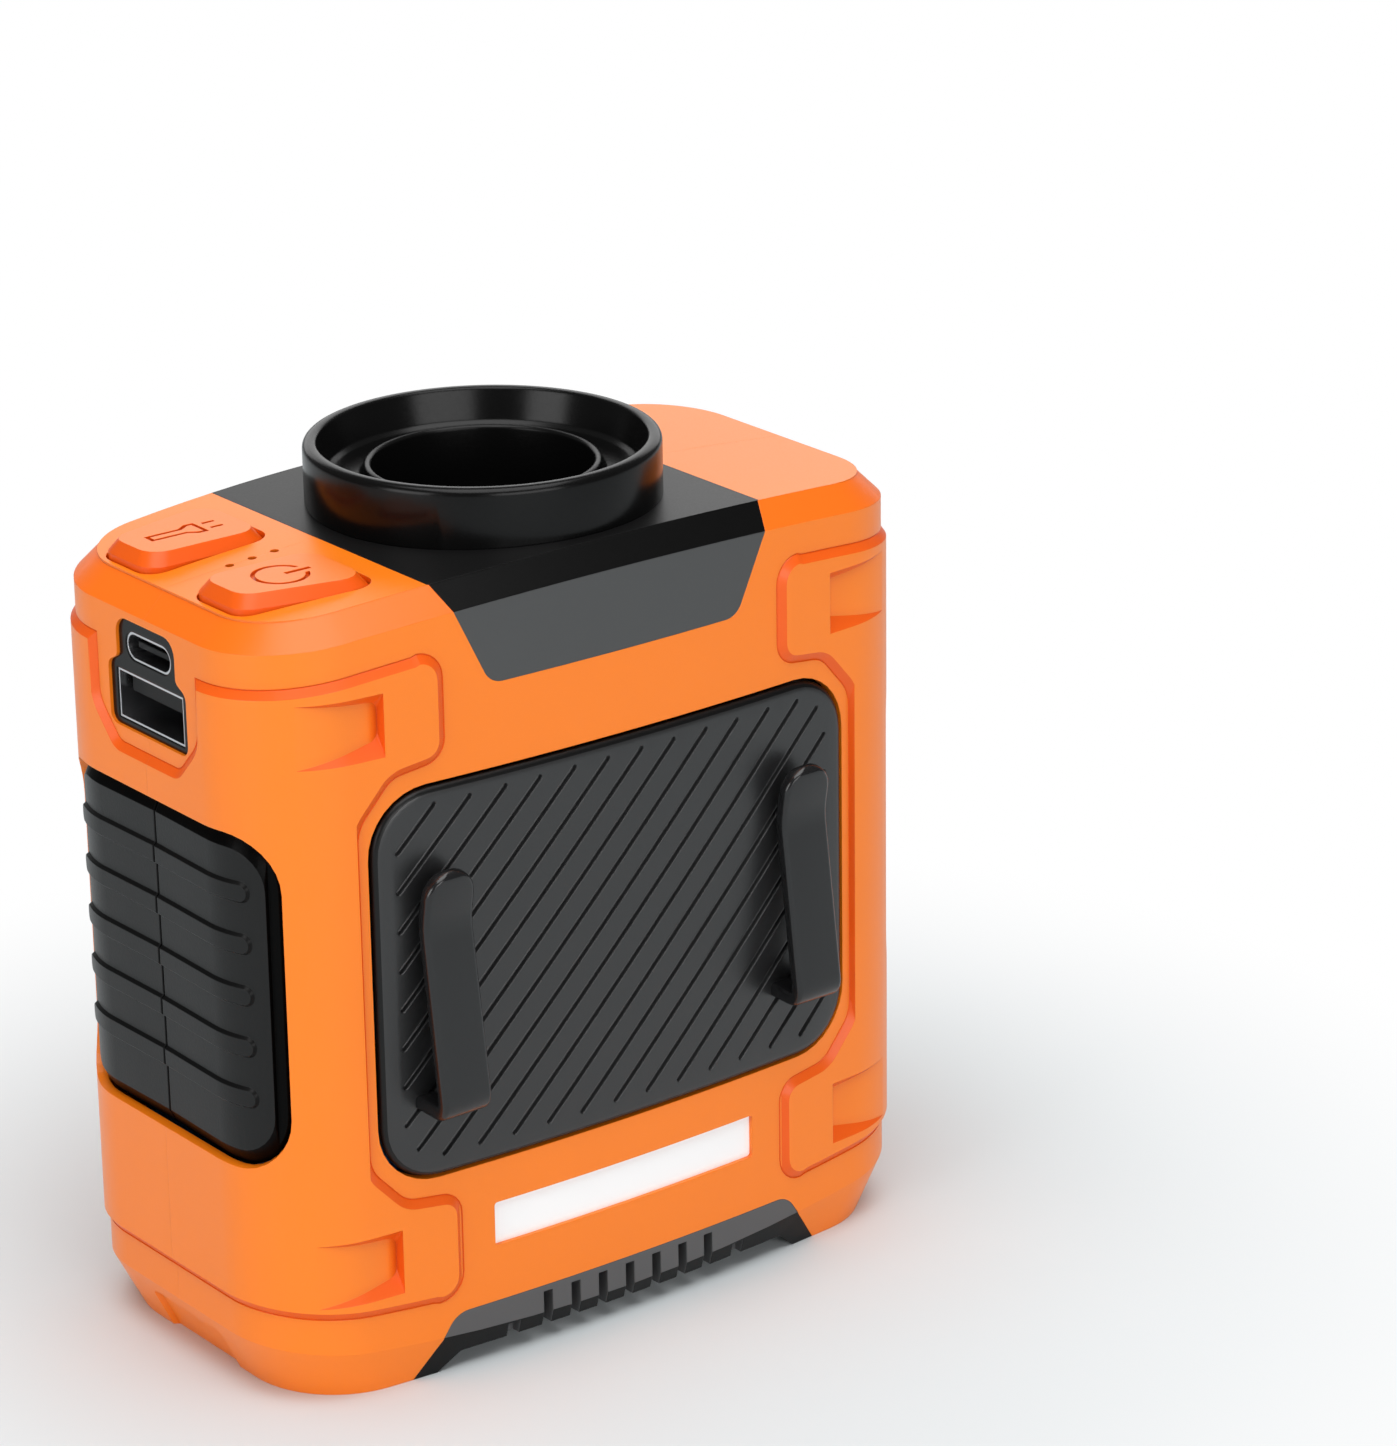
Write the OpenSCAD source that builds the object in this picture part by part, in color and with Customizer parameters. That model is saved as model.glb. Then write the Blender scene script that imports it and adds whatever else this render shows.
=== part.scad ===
// Pocket turbo fan and work light in a square power-pack case.
// Local frame: X across the case, Y from the clip face to the back face, Z up.
// The origin lies on the floor at the centre of the whole footprint.

/* [Case] */
// Width between the two flat ends
case_w = 90; // [88:1:94]
// Depth at the middle of the two bowed faces
case_d = 48.6; // [47.6:0.2:52]
// Height at the middle of the crowned top
case_h = 92.4; // [92:0.2:96]
// Radius of the four upright corners
corner_r = 12; // [10:0.5:13]
// Radius of the bow of the front and back faces
bow_r = 348; // [250:10:500]
// How far the crowned top falls to each end
crown_drop = 2.3; // [1.5:0.1:3]
// Wall of the two shell halves
wall = 2.4; // [2.2:0.1:3]
// Width and height of the bevel round the top
top_bevel = 2.7; // [2:0.1:3.2]
// How far the foot bevel goes in at the ends
foot_in_end = 3.3; // [2:0.1:4]
// How far the foot bevel goes in at the faces
foot_in_face = 1.15; // [0.6:0.05:1.6]
// Height of the foot bevel at the middle of a face
foot_bevel_h = 3.7; // [3:0.1:5]
// Thickness of the floor at the two ends
floor_t = 2.4; // [2:0.1:3]
// Height of the inner ceiling below the crowned top
roof_t = 4.2; // [4:0.1:5]

/* [Armour] */
// How far the corner armour stands off the case
armour_h = 0.6; // [0.4:0.05:1]
// Distance from a case end to the inner edge of the armour pads
pad_in = 22.1; // [21:0.1:22.4]
// Distance from a case end to the armour's waist
waist_in = 11.1; // [9:0.1:12]
// Distance from the top of the case to the underside of the upper pads
pad_drop = 19.2; // [17.4:0.1:19.4]
// Distance from the top of the case to the armour's top edge
armour_drop = 6.4; // [6:0.1:7]
// Top of the two lower pads
pad_high_z = 21.8; // [20:0.1:22]
// Depth of the wedge pocket in each pad
pocket_t = 0.9; // [0.4:0.05:1.1]

/* [Saddle] */
// Distance from a case end to the saddle's edge
saddle_in = 22.5; // [22:0.1:23.5]
// How far the apron's lower corners lie inside the saddle's edge
apron_in = 5.7; // [4.5:0.1:8.5]
// Distance from the top of the case to the apron's lower edge
apron_drop = 12.2; // [10.4:0.1:14.4]
// Thickness of the saddle
saddle_t = 1.6; // [1.2:0.1:1.8]

/* [Nozzle and fan] */
// Outer radius of the outlet collar
collar_r = 20; // [19:0.1:20.5]
// Height of the collar's rim above the case
collar_over = 6.6; // [5.6:0.1:8.6]
// Inner radius of the collar at its rim
collar_in_r = 18.4; // [18:0.1:18.6]
// Radius of the air throat
throat_r = 12.4; // [11.5:0.1:12.8]
// Wall of the throat
throat_t = 0.95; // [0.8:0.05:1.2]
// Height of the throat's lip above the case
lip_over = 3.9; // [3.6:0.1:5]
// Gap between the fan duct and the cells
duct_gap_x = 2; // [1.6:0.1:2.4]
// Gap between the fan duct and the case faces
duct_gap_y = 1.7; // [1.3:0.1:2.1]
// Wall of the fan duct
duct_t = 1.4; // [1.2:0.1:1.8]
// Length of the fan duct under the case's ceiling
duct_len = 38.2; // [34.2:0.5:40.2]
// Gap between the blade tips and the duct
tip_gap = 0.8; // [0.6:0.1:1.5]
// Number of fan blades
blades = 9; // [5:1:11]
// Number of guide vanes
vanes = 7; // [5:1:9]
// Radius of the motor
motor_r = 8; // [7:0.1:9]
// Radius of the motor shaft
shaft_r = 1; // [0.8:0.05:1.2]
// Running gap round the shaft
shaft_fit = 0.05; // [0.03:0.01:0.08]

/* [Base grille] */
// Distance from a case end to the grille's edge at the floor
base_in = 16.4; // [15:0.1:18]
// Top edge of the grille
base_z = 7.3; // [7:0.1:8]
// Height of the arch under the grille
arch_z = 2.2; // [1.8:0.1:2.6]
// Number of air slots
slot_n = 7; // [5:2:9]
// Distance from slot to slot
slot_pitch = 3.8; // [3.4:0.1:4]
// Width of a slot
slot_w = 1.25; // [1:0.05:1.5]
// Top of the slots
slot_z = 6.5; // [6:0.1:6.7]

/* [Clip plate and clips] */
// Distance from a case end to the edge of the ribbed plate
plate_in = 12.7; // [12:0.1:14]
// Lower edge of the plate
plate_z0 = 24.8; // [24:0.1:26]
// Distance from the top of the case to the plate's upper edge
plate_drop = 22.1; // [21.4:0.1:23.4]
// Corner radius of the plate
plate_r = 7; // [5:0.5:9]
// How far the plate stands off the case
plate_proud = 0.5; // [0.3:0.05:0.8]
// Depth of the plate's seat in the case
plate_seat = 1.2; // [1.1:0.05:1.3]
// Gap round the plate
plate_gap = 0.35; // [0.2:0.05:0.5]
// Distance between the grooves along X
groove_pitch = 4.55; // [4:0.05:6]
// Width of a groove
groove_w = 0.8; // [0.6:0.05:1.2]
// Depth of a groove
groove_t = 0.45; // [0.3:0.05:0.6]
// Distance from the plate's left edge to the left clip's middle
clip_left_in = 7.3; // [6.3:0.1:8.3]
// Distance from the plate's right edge to the right clip's middle
clip_right_in = 8.2; // [7.3:0.1:9.3]
// Width of a clip
clip_w = 6.4; // [5.5:0.1:7]
// Thickness of a clip
clip_t = 1.7; // [1.5:0.1:2]
// Stand-off of a clip at its foot
clip_reach = 5.6; // [5:0.1:6.4]
// Height of a clip's foot
clip_z0 = 33.2; // [32:0.1:35]
// Distance from the plate's upper edge to a clip's tip
clip_drop = 8.3; // [6.3:0.1:10.3]
// Gap round a clip's foot in its slot
clip_fit = 0.3; // [0.25:0.05:0.35]

/* [Grips] */
// Distance from a case face to a grip's edge
grip_in = 5; // [4.3:0.1:6.3]
// Lower edge of a grip
grip_z0 = 28.2; // [27:0.1:30]
// Distance from the top of the case to a grip's upper edge
grip_drop = 25; // [24.4:0.1:26.4]
// Depth of a grip's seat in the case
grip_seat = 1.3; // [1:0.05:1.5]
// How far a grip stands off the case
grip_proud = 0.1; // [0:0.05:0.3]
// Number of ribs on a grip
rib_n = 5; // [4:1:6]
// Distance from rib to rib
rib_pitch = 6; // [5.4:0.1:6.2]
// Width of a rib
rib_w = 2.4; // [2:0.1:3]
// Height of a rib over the grip
rib_h = 0.7; // [0.4:0.05:1]

/* [Name plate] */
// Distance from the armour pads to the name plate's ends
label_in = 4.65; // [3.9:0.25:6.9]
// Lower edge of the name plate
label_z0 = 14.05; // [13.5:0.05:15]
// Upper edge of the name plate
label_z1 = 19.3; // [18.5:0.05:20]
// Depth of the name plate's recess
label_deep = 0.95; // [0.8:0.05:1.2]
// Thickness of the name plate
label_t = 0.45; // [0.3:0.05:0.6]

/* [Buttons] */
// Height of a button over the top face
button_h = 1.4; // [1:0.1:1.8]
// Travel of a button
button_travel = 0.5; // [0.3:0.05:0.6]
// Gap round a button in its hole
button_gap = 0.2; // [0.15:0.05:0.3]
// Distance from the case end to the middle of the buttons and switches
button_in = 11.4; // [11:0.1:12]
// Distance of a button's near edge from the centre line
button_y0 = 4; // [3.8:0.1:4.4]
// Radius of a charge light
light_r = 0.5; // [0.4:0.05:0.6]

/* [Ports] */
// Distance from the top of the case to the middle of the large port
port_a_drop = 14.98; // [14.8:0.02:15.4]
// Distance from the top of the case to the middle of the small port
port_c_drop = 8.88; // [8.6:0.02:9]
// Half width of the port bezel's lower part
bezel_y = 7.7; // [7.5:0.1:8]
// Setback of the port bezel from the case end
bezel_deep = 0.4; // [0.2:0.05:0.6]
// Thickness of a circuit board
board_t = 1.2; // [1:0.1:1.6]

/* [Torch] */
// Distance from the top of the case to the torch's axis
torch_drop = 13.4; // [12.9:0.1:14.4]
// Radius of the torch's outer ring
torch_ring_r = 8.2; // [7.8:0.1:8.8]
// Radius of the torch's barrel
torch_r = 7.1; // [6.8:0.1:7.3]
// Wall of the torch's barrel
torch_t = 0.8; // [0.6:0.05:1]
// How far the torch ring stands off the case end
torch_out = 1.3; // [1:0.1:2]
// Length of the torch inside the case
torch_len = 11; // [10:0.5:12]

/* [Battery] */
// Room between the cells and the wall at the case faces
cell_gap_face = 3.3; // [3.2:0.05:3.7]
// Room between the cells and the wall at the case ends
cell_gap_end = 2; // [1.8:0.05:2.2]
// Room over the cells, under the port board
cell_gap_top = 3.56; // [3.06:0.1:4.56]
// Half the gap between two cells
cell_split = 0.2; // [0.15:0.05:0.4]

/* [Screws] */
// Radius of a case screw's shank
screw_r = 1.25; // [1:0.05:1.5]
// Radius of a case screw's head
screw_head_r = 2.2; // [2:0.1:2.4]
// Radius of a screw boss
boss_r = 2.3; // [2:0.1:2.4]

/* [Hidden] */

half_w = case_w / 2;
half_d = case_d / 2;
// Centre of the front face's bow, and of the corner arcs
bow_y = bow_r - half_d;
corner_x = half_w - corner_r;
corner_y = bow_y - sqrt(pow(bow_r - corner_r, 2) - pow(corner_x, 2));
bow_a = asin(corner_x / (bow_r - corner_r));
saddle_x = half_w - saddle_in;
apron_x = saddle_x - apron_in;
apron_z = case_h - apron_drop;
pad_x = half_w - pad_in;
waist_x = half_w - waist_in;
pad_low_z = case_h - pad_drop;
collar_z = case_h + collar_over;
lip_z = case_h + lip_over;
base_x = half_w - base_in;
plate_x = half_w - plate_in;
plate_z1 = case_h - plate_drop;
clip_left_x = clip_left_in - plate_x;
clip_right_x = plate_x - clip_right_in;
clip_z1 = plate_z1 - clip_drop;
grip_y = half_d - grip_in;
grip_z1 = case_h - grip_drop;
label_x = pad_x - label_in;
button_x = button_in - half_w;
port_a_z = case_h - port_a_drop;
port_c_z = case_h - port_c_drop;
torch_z = case_h - torch_drop;
corner_n = 8;
bow_n = 10;
ceiling_z = case_h - roof_t;
bevel_z = case_h - top_bevel;
big = 200;
// Cells fill the room beside the duct, and the duct what they leave
cell_r = (half_d - wall - cell_gap_face - cell_split) / 2;
cell_x = half_w - wall - cell_gap_end - cell_r;
cell_y = cell_r + cell_split;
duct_z = ceiling_z - duct_len;
duct_r = min(cell_x - cell_r - duct_gap_x, half_d - wall - duct_gap_y) - duct_t;

orange = [1, 0.45, 0.08];
black = [0.09, 0.09, 0.1];
grey = [0.33, 0.33, 0.34];
metal = [0.75, 0.76, 0.78];
green = [0.05, 0.35, 0.2];

function crown(x) = crown_drop * pow(x / half_w, 2);
function foot(x) = foot_bevel_h + 0.86 * foot_bevel_h * pow(x / half_w, 2);
function arc(c, r, a0, a1, n) =
    [for (i = [0:n]) let (a = a0 + (a1 - a0) * i / n) [c.x + r * cos(a), c.y + r * sin(a)]];

// Distance from the centre line to a face's surface at x, a depth o under it
function face_y(x, o = 0) = sqrt(pow(bow_r - o, 2) - x * x) - bow_y;

// Footprint of the case, set in by o, anticlockwise from the left end
function front_edge(o) = concat(
    arc([-corner_x, corner_y], corner_r - o, 180, 270 - bow_a, corner_n),
    [for (i = [1:bow_n - 1]) let (a = bow_a * (2 * i / bow_n - 1))
        [(bow_r - o) * sin(a), bow_y - (bow_r - o) * cos(a)]],
    arc([corner_x, corner_y], corner_r - o, 270 + bow_a, 360, corner_n));
function footprint(o) = let (f = front_edge(o))
    concat(f, [for (i = [len(f) - 1:-1:0]) [f[i].x, -f[i].y]]);
function ring(o, zf, sx = 1, sy = 1) = [for (p = footprint(o)) [p.x * sx, p.y * sy, zf(p.x)]];

// Corner of a polygon rounded by an arc; each point is [x, y, radius]
function unit(v) = v / norm(v);
function round_corner(a, b, c, n) = b[2] == 0 ? [[b.x, b.y]] : let (
    p = [b.x, b.y], u = unit([a.x, a.y] - p), v = unit([c.x, c.y] - p),
    t = acos(u * v) / 2, d = b[2] / tan(t), p1 = p + d * u,
    m = p + unit(u + v) * b[2] / sin(t), q = p1 - m,
    s = (u.x * v.y - u.y * v.x) > 0 ? -1 : 1)
    [for (i = [0:n]) let (w = s * (180 - 2 * t) * i / n)
        m + [q.x * cos(w) - q.y * sin(w), q.x * sin(w) + q.y * cos(w)]];
function rounded(pts, n = 6) = let (k = len(pts))
    [for (i = [0:k - 1]) each round_corner(pts[(i + k - 1) % k], pts[i], pts[(i + 1) % k], n)];
function flip(pts) = [for (i = [len(pts) - 1:-1:0]) [-pts[i].x, pts[i].y, pts[i][2]]];
function symmetric(pts) = concat(pts, flip(pts));

// Moves the case so that the origin is under the centre of the whole footprint
mid_y = (clip_reach + face_y(clip_left_x, -plate_proud) - (half_d + armour_h)) / 2;
module placed() {
    translate([0, mid_y, 0])
        children();
}

// Solid through a stack of rings
module loft(rings) {
    k = len(rings);
    n = len(rings[0]);
    m = n / 2;
    polyhedron(points = [for (r = rings) each r], faces = concat(
        [for (j = [0:m - 2]) [j, j + 1, n - 2 - j, n - 1 - j]],
        [for (i = [0:k - 2], j = [0:n - 1]) let (a = i * n, b = a + n, l = (j + 1) % n)
            each [[a + j, b + j, b + l], [a + j, b + l, a + l]]],
        [for (j = [0:m - 2]) let (a = (k - 1) * n) [a + n - 1 - j, a + n - 2 - j, a + j + 1, a + j]]));
}

// The whole case as a solid
module case_solid() {
    loft([
        ring(0, function (x) 0, 1 - foot_in_end / half_w, 1 - foot_in_face / half_d),
        ring(0, function (x) foot(x)),
        ring(0, function (x) bevel_z - crown(x)),
        ring(top_bevel, function (x) case_h - crown(x))]);
}
// The case set in by o, without bevels, between two heights
module band_solid(o, z0, z1) {
    loft([ring(o, function (x) z0), ring(o, function (x) z1)]);
}
// The case set in by o all over, for thin skins
module inner_solid(o) {
    loft([
        ring(o, function (x) o, 1 - foot_in_end / half_w, 1 - foot_in_face / half_d),
        ring(o, function (x) foot(x) + 0.1 * o),
        ring(o, function (x) bevel_z - 0.4 * o - crown(x)),
        ring(top_bevel + 0.4 * o, function (x) case_h - o - crown(x))]);
}
// The room inside the case above the height z0
module room(z0) {
    loft([
        ring(wall, function (x) z0, 1 - (foot_in_end * 0.75) / half_w, 1 - foot_in_face / half_d),
        ring(wall, function (x) foot(x) + 1.2),
        ring(wall, function (x) ceiling_z - 2),
        ring(wall + 1.2, function (x) ceiling_z)]);
}
// Outlines drawn in the front view, run from y0 to y1
module front_prism(pts, y0 = -big / 2, y1 = big / 2) {
    translate([0, y1, 0])
        rotate([90, 0, 0])
            linear_extrude(y1 - y0)
                polygon(pts);
}
// Outlines drawn in the end view as [y, z], run from x0 to x1
module end_prism(pts, x0, x1) {
    translate([x0, 0, 0])
        rotate([90, 0, 90])
            linear_extrude(x1 - x0)
                polygon(pts);
}
module half_space(side) {
    translate([-big / 2, side < 0 ? -big : 0, -big / 2])
        cube([big, big, big]);
}

// Armour outline on the right, from the top edge round the waist to the lower edge
function armour_top(x) = case_h - armour_drop - 2.6 * pow(x / half_w, 2);
function armour_low(x) = 8.6 + 2.6 * pow(x / half_w, 2);
armour_pts = rounded([
    [pad_x, armour_top(pad_x), 3], [pad_x, pad_low_z, 2.6], [waist_x - 4.4, pad_low_z - 0.9, 3.5],
    [waist_x, pad_low_z - 6, 4.5], [waist_x, pad_high_z + 5.6, 4.5],
    [waist_x - 4.4, pad_high_z + 0.8, 3.5], [pad_x - 0.3, pad_high_z, 2.6],
    [pad_x - 0.3, armour_low(pad_x), 3], [waist_x, armour_low(waist_x), 0],
    [half_w - 3, armour_low(half_w - 3), 0], [half_w + 2, armour_low(half_w), 0],
    [half_w + 2, armour_top(half_w), 0], [half_w - 3, armour_top(half_w - 3), 0],
    [waist_x, armour_top(waist_x), 0]]);
// Bays in the end armour round the ports and the torch
bay_y = bezel_y + 2.2;
bay_z = pad_low_z - 1.3;
bay_pts = rounded([
    [-bay_y, case_h - 2.4, 0], [-bay_y, bay_z + 4.1, 4], [3.9 - bay_y, bay_z, 2],
    [bay_y - 3.9, bay_z, 2], [bay_y, bay_z + 4.1, 4], [bay_y, case_h - 2.4, 0]]);
module armour() {
    difference() {
        intersection() {
            band_solid(-armour_h, 6, case_h - 3.9);
            union() {
                front_prism(armour_pts);
                mirror([1, 0, 0])
                    front_prism(armour_pts);
            }
        }
        for (x = [-half_w - 5, half_w - 5])
            end_prism(bay_pts, x, x + 10);
        translate([half_w - 3, 0, torch_z])
            rotate([0, 90, 0])
                cylinder(h = 10, r = torch_ring_r + 0.7, $fn = 40);
    }
}
// Wedge pocket in an armour pad, deep at the inner end
module pocket(z0, z1) {
    x0 = pad_x + 4.7;
    x1 = half_w - 5.2;
    y0 = -face_y(x0 + 0.1, -armour_h) - 1;
    translate([0, 0, z0])
        linear_extrude(z1 - z0)
            polygon([[x0, y0], [x0, -face_y(x0, -armour_h) + 0.1],
                [x0 + 2.8, -face_y(x0 + 2.8, -armour_h) + pocket_t],
                [x1, -face_y(x1, -armour_h) + 1.2], [x1, y0]]);
}
module pockets() {
    for (s = [-1, 1], t = [-1, 1])
        scale([s, t, 1]) {
            pocket(pad_low_z + 1.8, case_h - 10.2);
            pocket(12, pad_high_z - 2.2);
        }
}

// Outline of the saddle that lies over the top and hangs down both faces
saddle_pts = symmetric([
    [apron_x, apron_z, 2.5], [saddle_x - 1.35, bevel_z - 0.5, 0],
    [saddle_x, case_h - 0.5, 0], [saddle_x, case_h + 5, 0]]);
module saddle_zone() {
    difference() {
        front_prism(rounded(saddle_pts));
        inner_solid(saddle_t);
    }
}
// Outline of the base grille in the front view
base_pts = symmetric([
    [base_x, -1, 0], [base_x, 0, 0], [base_x - 3.2, 4.4, 3], [base_x - 5, base_z, 3]]);
module base_zone() {
    front_prism(rounded(base_pts));
}

plate_pts = function (g) rounded([
    [-plate_x - g, plate_z0 - g, plate_r + g], [plate_x + g, plate_z0 - g, plate_r + g],
    [plate_x + g, plate_z1 + g, plate_r + g], [-plate_x - g, plate_z1 + g, plate_r + g]], 8);
label_pts = rounded([
    [-label_x, label_z0, 0.4], [label_x, label_z0, 0.4],
    [label_x, label_z1, 0.4], [-label_x, label_z1, 0.4]], 3);
grip_pts = rounded([
    [-grip_y, grip_z0, 5.5], [grip_y, grip_z0, 5.5], [grip_y, grip_z1, 5.5], [-grip_y, grip_z1, 5.5]]);
// Outline of the port bezel, wide round the large port and narrow round the small one
bezel_pts = rounded([
    [-bezel_y, port_a_z - 3.6, 1.2], [bezel_y, port_a_z - 3.6, 1.2], [bezel_y, port_a_z + 3.4, 1.2],
    [5.8, port_c_z - 1.7, 0.8], [5.8, port_c_z + 3, 2], [-5.8, port_c_z + 3, 2],
    [-5.8, port_c_z - 1.7, 0.8], [-bezel_y, port_a_z + 3.4, 1.2]], 4);

// Button outline on the top face, grown by g
button_pts = function (g) rounded([
    [button_x - 7.9 - g, button_y0 - g, 2.5], [button_x + 7.9 + g, button_y0 - g, 2.5],
    [button_x + 7.9 + g, button_y0 + 12.9 + g, 2.5], [button_x - 7.9 - g, button_y0 + 9.6 + g, 2.5]], 5);
button_top_z = case_h - crown(button_x) + button_h;
light_xs = [button_x - 0.2, button_x + 2.7, button_x + 5.6];
switch_h = 3;
stem_z = button_top_z - 1.6;
board_z = ceiling_z - 3 - board_t;

// Places of the screws through the back shell as [x, z]
function screw_seat(x) = face_y(x) - 2;
cell_side = cell_x - cell_r;
screw_at = [for (p = [[0.4, pad_low_z - 0.8], [-4.7, 12]], s = [-1, 1])
    [s * (cell_side + p.x), p.y]];
module bosses() {
    for (p = screw_at)
        translate([p.x, half_d - wall + 0.4, p.y])
            rotate([90, 0, 0])
                cylinder(h = 2 * (half_d - wall + 0.4), r = boss_r, $fn = 24);
}
module screw_holes() {
    for (p = screw_at) {
        translate([p.x, half_d + 1, p.y])
            rotate([90, 0, 0])
                cylinder(h = half_d + 13, r = screw_r, $fn = 16);
        translate([p.x, half_d + 2, p.y])
            rotate([90, 0, 0])
                cylinder(h = half_d + 2 - screw_seat(p.x), r = screw_head_r + 0.2, $fn = 24);
    }
}
switch_board_y = button_y0 + 12.5;
post_xy = [for (x = [8.2, -1.6], y = [-1, 1]) [button_x + x, y * (switch_board_y - 1.7)]];

// Both halves of the case in one
module shell() {
    difference() {
        union() {
            difference() {
                union() {
                    case_solid();
                    armour();
                }
                room(floor_t);
            }
            intersection() {
                bosses();
                band_solid(wall - 0.3, 3, case_h - 7.4);
            }
            for (p = post_xy)
                translate([p.x, p.y, board_z + board_t])
                    cylinder(h = ceiling_z - board_z - board_t + 0.3, r = 1.6, $fn = 20);
        }
        saddle_zone();
        base_zone();
        pockets();
        screw_holes();
        // Seat of the ribbed plate
        difference() {
            front_prism(plate_pts(plate_gap), -big / 2, 0);
            band_solid(plate_seat, -1, big);
        }
        // Recess of the name plate
        difference() {
            front_prism(label_pts, -big / 2, 0);
            band_solid(label_deep, -1, big);
        }
        // Seats of the four grips
        difference() {
            union() {
                end_prism(grip_pts, -half_w - 5, -half_w + 8);
                end_prism(grip_pts, half_w - 8, half_w + 5);
            }
            band_solid(grip_seat, -1, big);
        }
        // Notch in each end of the foot
        difference() {
            for (x = [-half_w - 1, half_w - foot_in_end - 0.3])
                end_prism(rounded([[-7, -1, 0], [7, -1, 0], [7, 5, 1], [-7, 5, 1]], 3),
                    x, x + foot_in_end + 1.3);
            inner_solid(0.6);
        }
        // Openings for ports, torch, nozzle, buttons and lights
        end_prism(bezel_pts, -half_w - 2, -half_w + wall + 1);
        translate([half_w - wall - 1, 0, torch_z])
            rotate([0, 90, 0])
                cylinder(h = wall + 4, r = torch_r, $fn = 40);
        translate([0, 0, ceiling_z - 1])
            cylinder(h = 10, r = throat_r + throat_t, $fn = 60);
        for (s = [-1, 1])
            scale([1, s, 1])
                translate([0, 0, ceiling_z - 1])
                    linear_extrude(10)
                        polygon(button_pts(button_gap));
        for (x = light_xs)
            translate([x, 0, ceiling_z - 1])
                cylinder(h = 10, r = light_r, $fn = 20);
    }
}
module front_shell() {
    color(orange)
        placed()
            intersection() {
                shell();
                half_space(-1);
            }
}
module rear_shell() {
    color(orange)
        placed()
            intersection() {
                shell();
                half_space(1);
            }
}

module top_saddle() {
    color(grey)
        placed()
            difference() {
                intersection() {
                    case_solid();
                    saddle_zone();
                }
                translate([0, 0, apron_z])
                    cylinder(h = 20, r = throat_r + throat_t, $fn = 60);
            }
}

// Collar, shallow bowl and throat in one turned piece
module nozzle_collar() {
    seat_z = case_h - crown(collar_r) - 0.4;
    edge = 0.8;
    color(black)
        placed()
            difference() {
                rotate_extrude($fn = 60)
                    polygon(concat(
                        [[throat_r, ceiling_z], [throat_r + throat_t, ceiling_z],
                            [throat_r + throat_t, case_h], [collar_r - 2, case_h], [collar_r - 1.6, seat_z],
                            [collar_r - 0.3, seat_z], [collar_r, seat_z + 0.6]],
                        arc([collar_r - edge, collar_z - edge], edge, 0, 90, 5),
                        arc([collar_in_r + 0.4, collar_z - 0.4], 0.4, 90, 180, 3),
                        [[collar_in_r - 1, lip_z - 0.9], [collar_in_r - 1.6, lip_z - 1.3],
                            [throat_r + throat_t + 0.4, lip_z - 1.3], [throat_r + throat_t, lip_z - 0.9]],
                        arc([throat_r + throat_t / 2, lip_z - throat_t / 2], throat_t / 2, 0, 180, 6)));
                // The collar's foot follows the crowned saddle
                intersection() {
                    difference() {
                        translate([0, 0, seat_z - 1])
                            cylinder(h = 8, r = collar_r + 2, $fn = 48);
                        translate([0, 0, seat_z - 2])
                            cylinder(h = 12, r = throat_r + throat_t, $fn = 60);
                    }
                    case_solid();
                }
            }
}

module fan_duct() {
    top_z = ceiling_z;
    mouth_r = throat_r + throat_t / 2;
    color(grey)
        placed()
            rotate_extrude($fn = 72)
                polygon([
                    [duct_r + 0.9, duct_z], [duct_r + duct_t, duct_z], [duct_r + duct_t, top_z],
                    [mouth_r, top_z], [mouth_r, top_z - 1.2], [duct_r, top_z - 7], [duct_r, duct_z + 3]]);
}
vane_z = duct_z + 22;
hub_r = motor_r + 1.1;
dome_r = hub_r - 1.6;
// The hub's domed top stays this far under the throat
dome_drop = 2.2;
dome_z = ceiling_z - dome_drop - dome_r;
module guide_vanes() {
    color(grey)
        placed() {
            difference() {
                rotate_extrude($fn = 48)
                    polygon(concat(
                        [[0, vane_z - 1], [hub_r, vane_z - 1], [hub_r, dome_z]],
                        arc([0, dome_z], dome_r, 60, 90, 4)));
                translate([0, 0, vane_z - 2])
                    cylinder(h = 9, r = motor_r, $fn = 48);
            }
            for (i = [0:vanes - 1])
                rotate([0, 0, i * 360 / vanes])
                    intersection() {
                        translate([hub_r - 0.6, 0, vane_z + 3.5])
                            rotate([18, 0, 0])
                                translate([0, -0.6, -6])
                                    cube([duct_r - hub_r + 2, 1.2, 12]);
                        difference() {
                            translate([0, 0, vane_z])
                                cylinder(h = 7, r = duct_r, $fn = 72);
                            translate([0, 0, vane_z - 1])
                                cylinder(h = 9, r = motor_r + 0.4, $fn = 48);
                        }
                    }
        }
}
motor_z0 = vane_z - 4;
module motor() {
    color(metal)
        placed()
            difference() {
                translate([0, 0, motor_z0])
                    cylinder(h = vane_z + 7 - motor_z0, r = motor_r, $fn = 48);
                translate([0, 0, motor_z0 - 1])
                    cylinder(h = 7, r = shaft_r + shaft_fit, $fn = 24);
            }
}
fan_z = motor_z0 - 12;
module motor_shaft() {
    color(metal)
        placed()
            translate([0, 0, fan_z + 1])
                cylinder(h = motor_z0 + 5.5 - fan_z - 1, r = shaft_r, $fn = 24);
}
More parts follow.
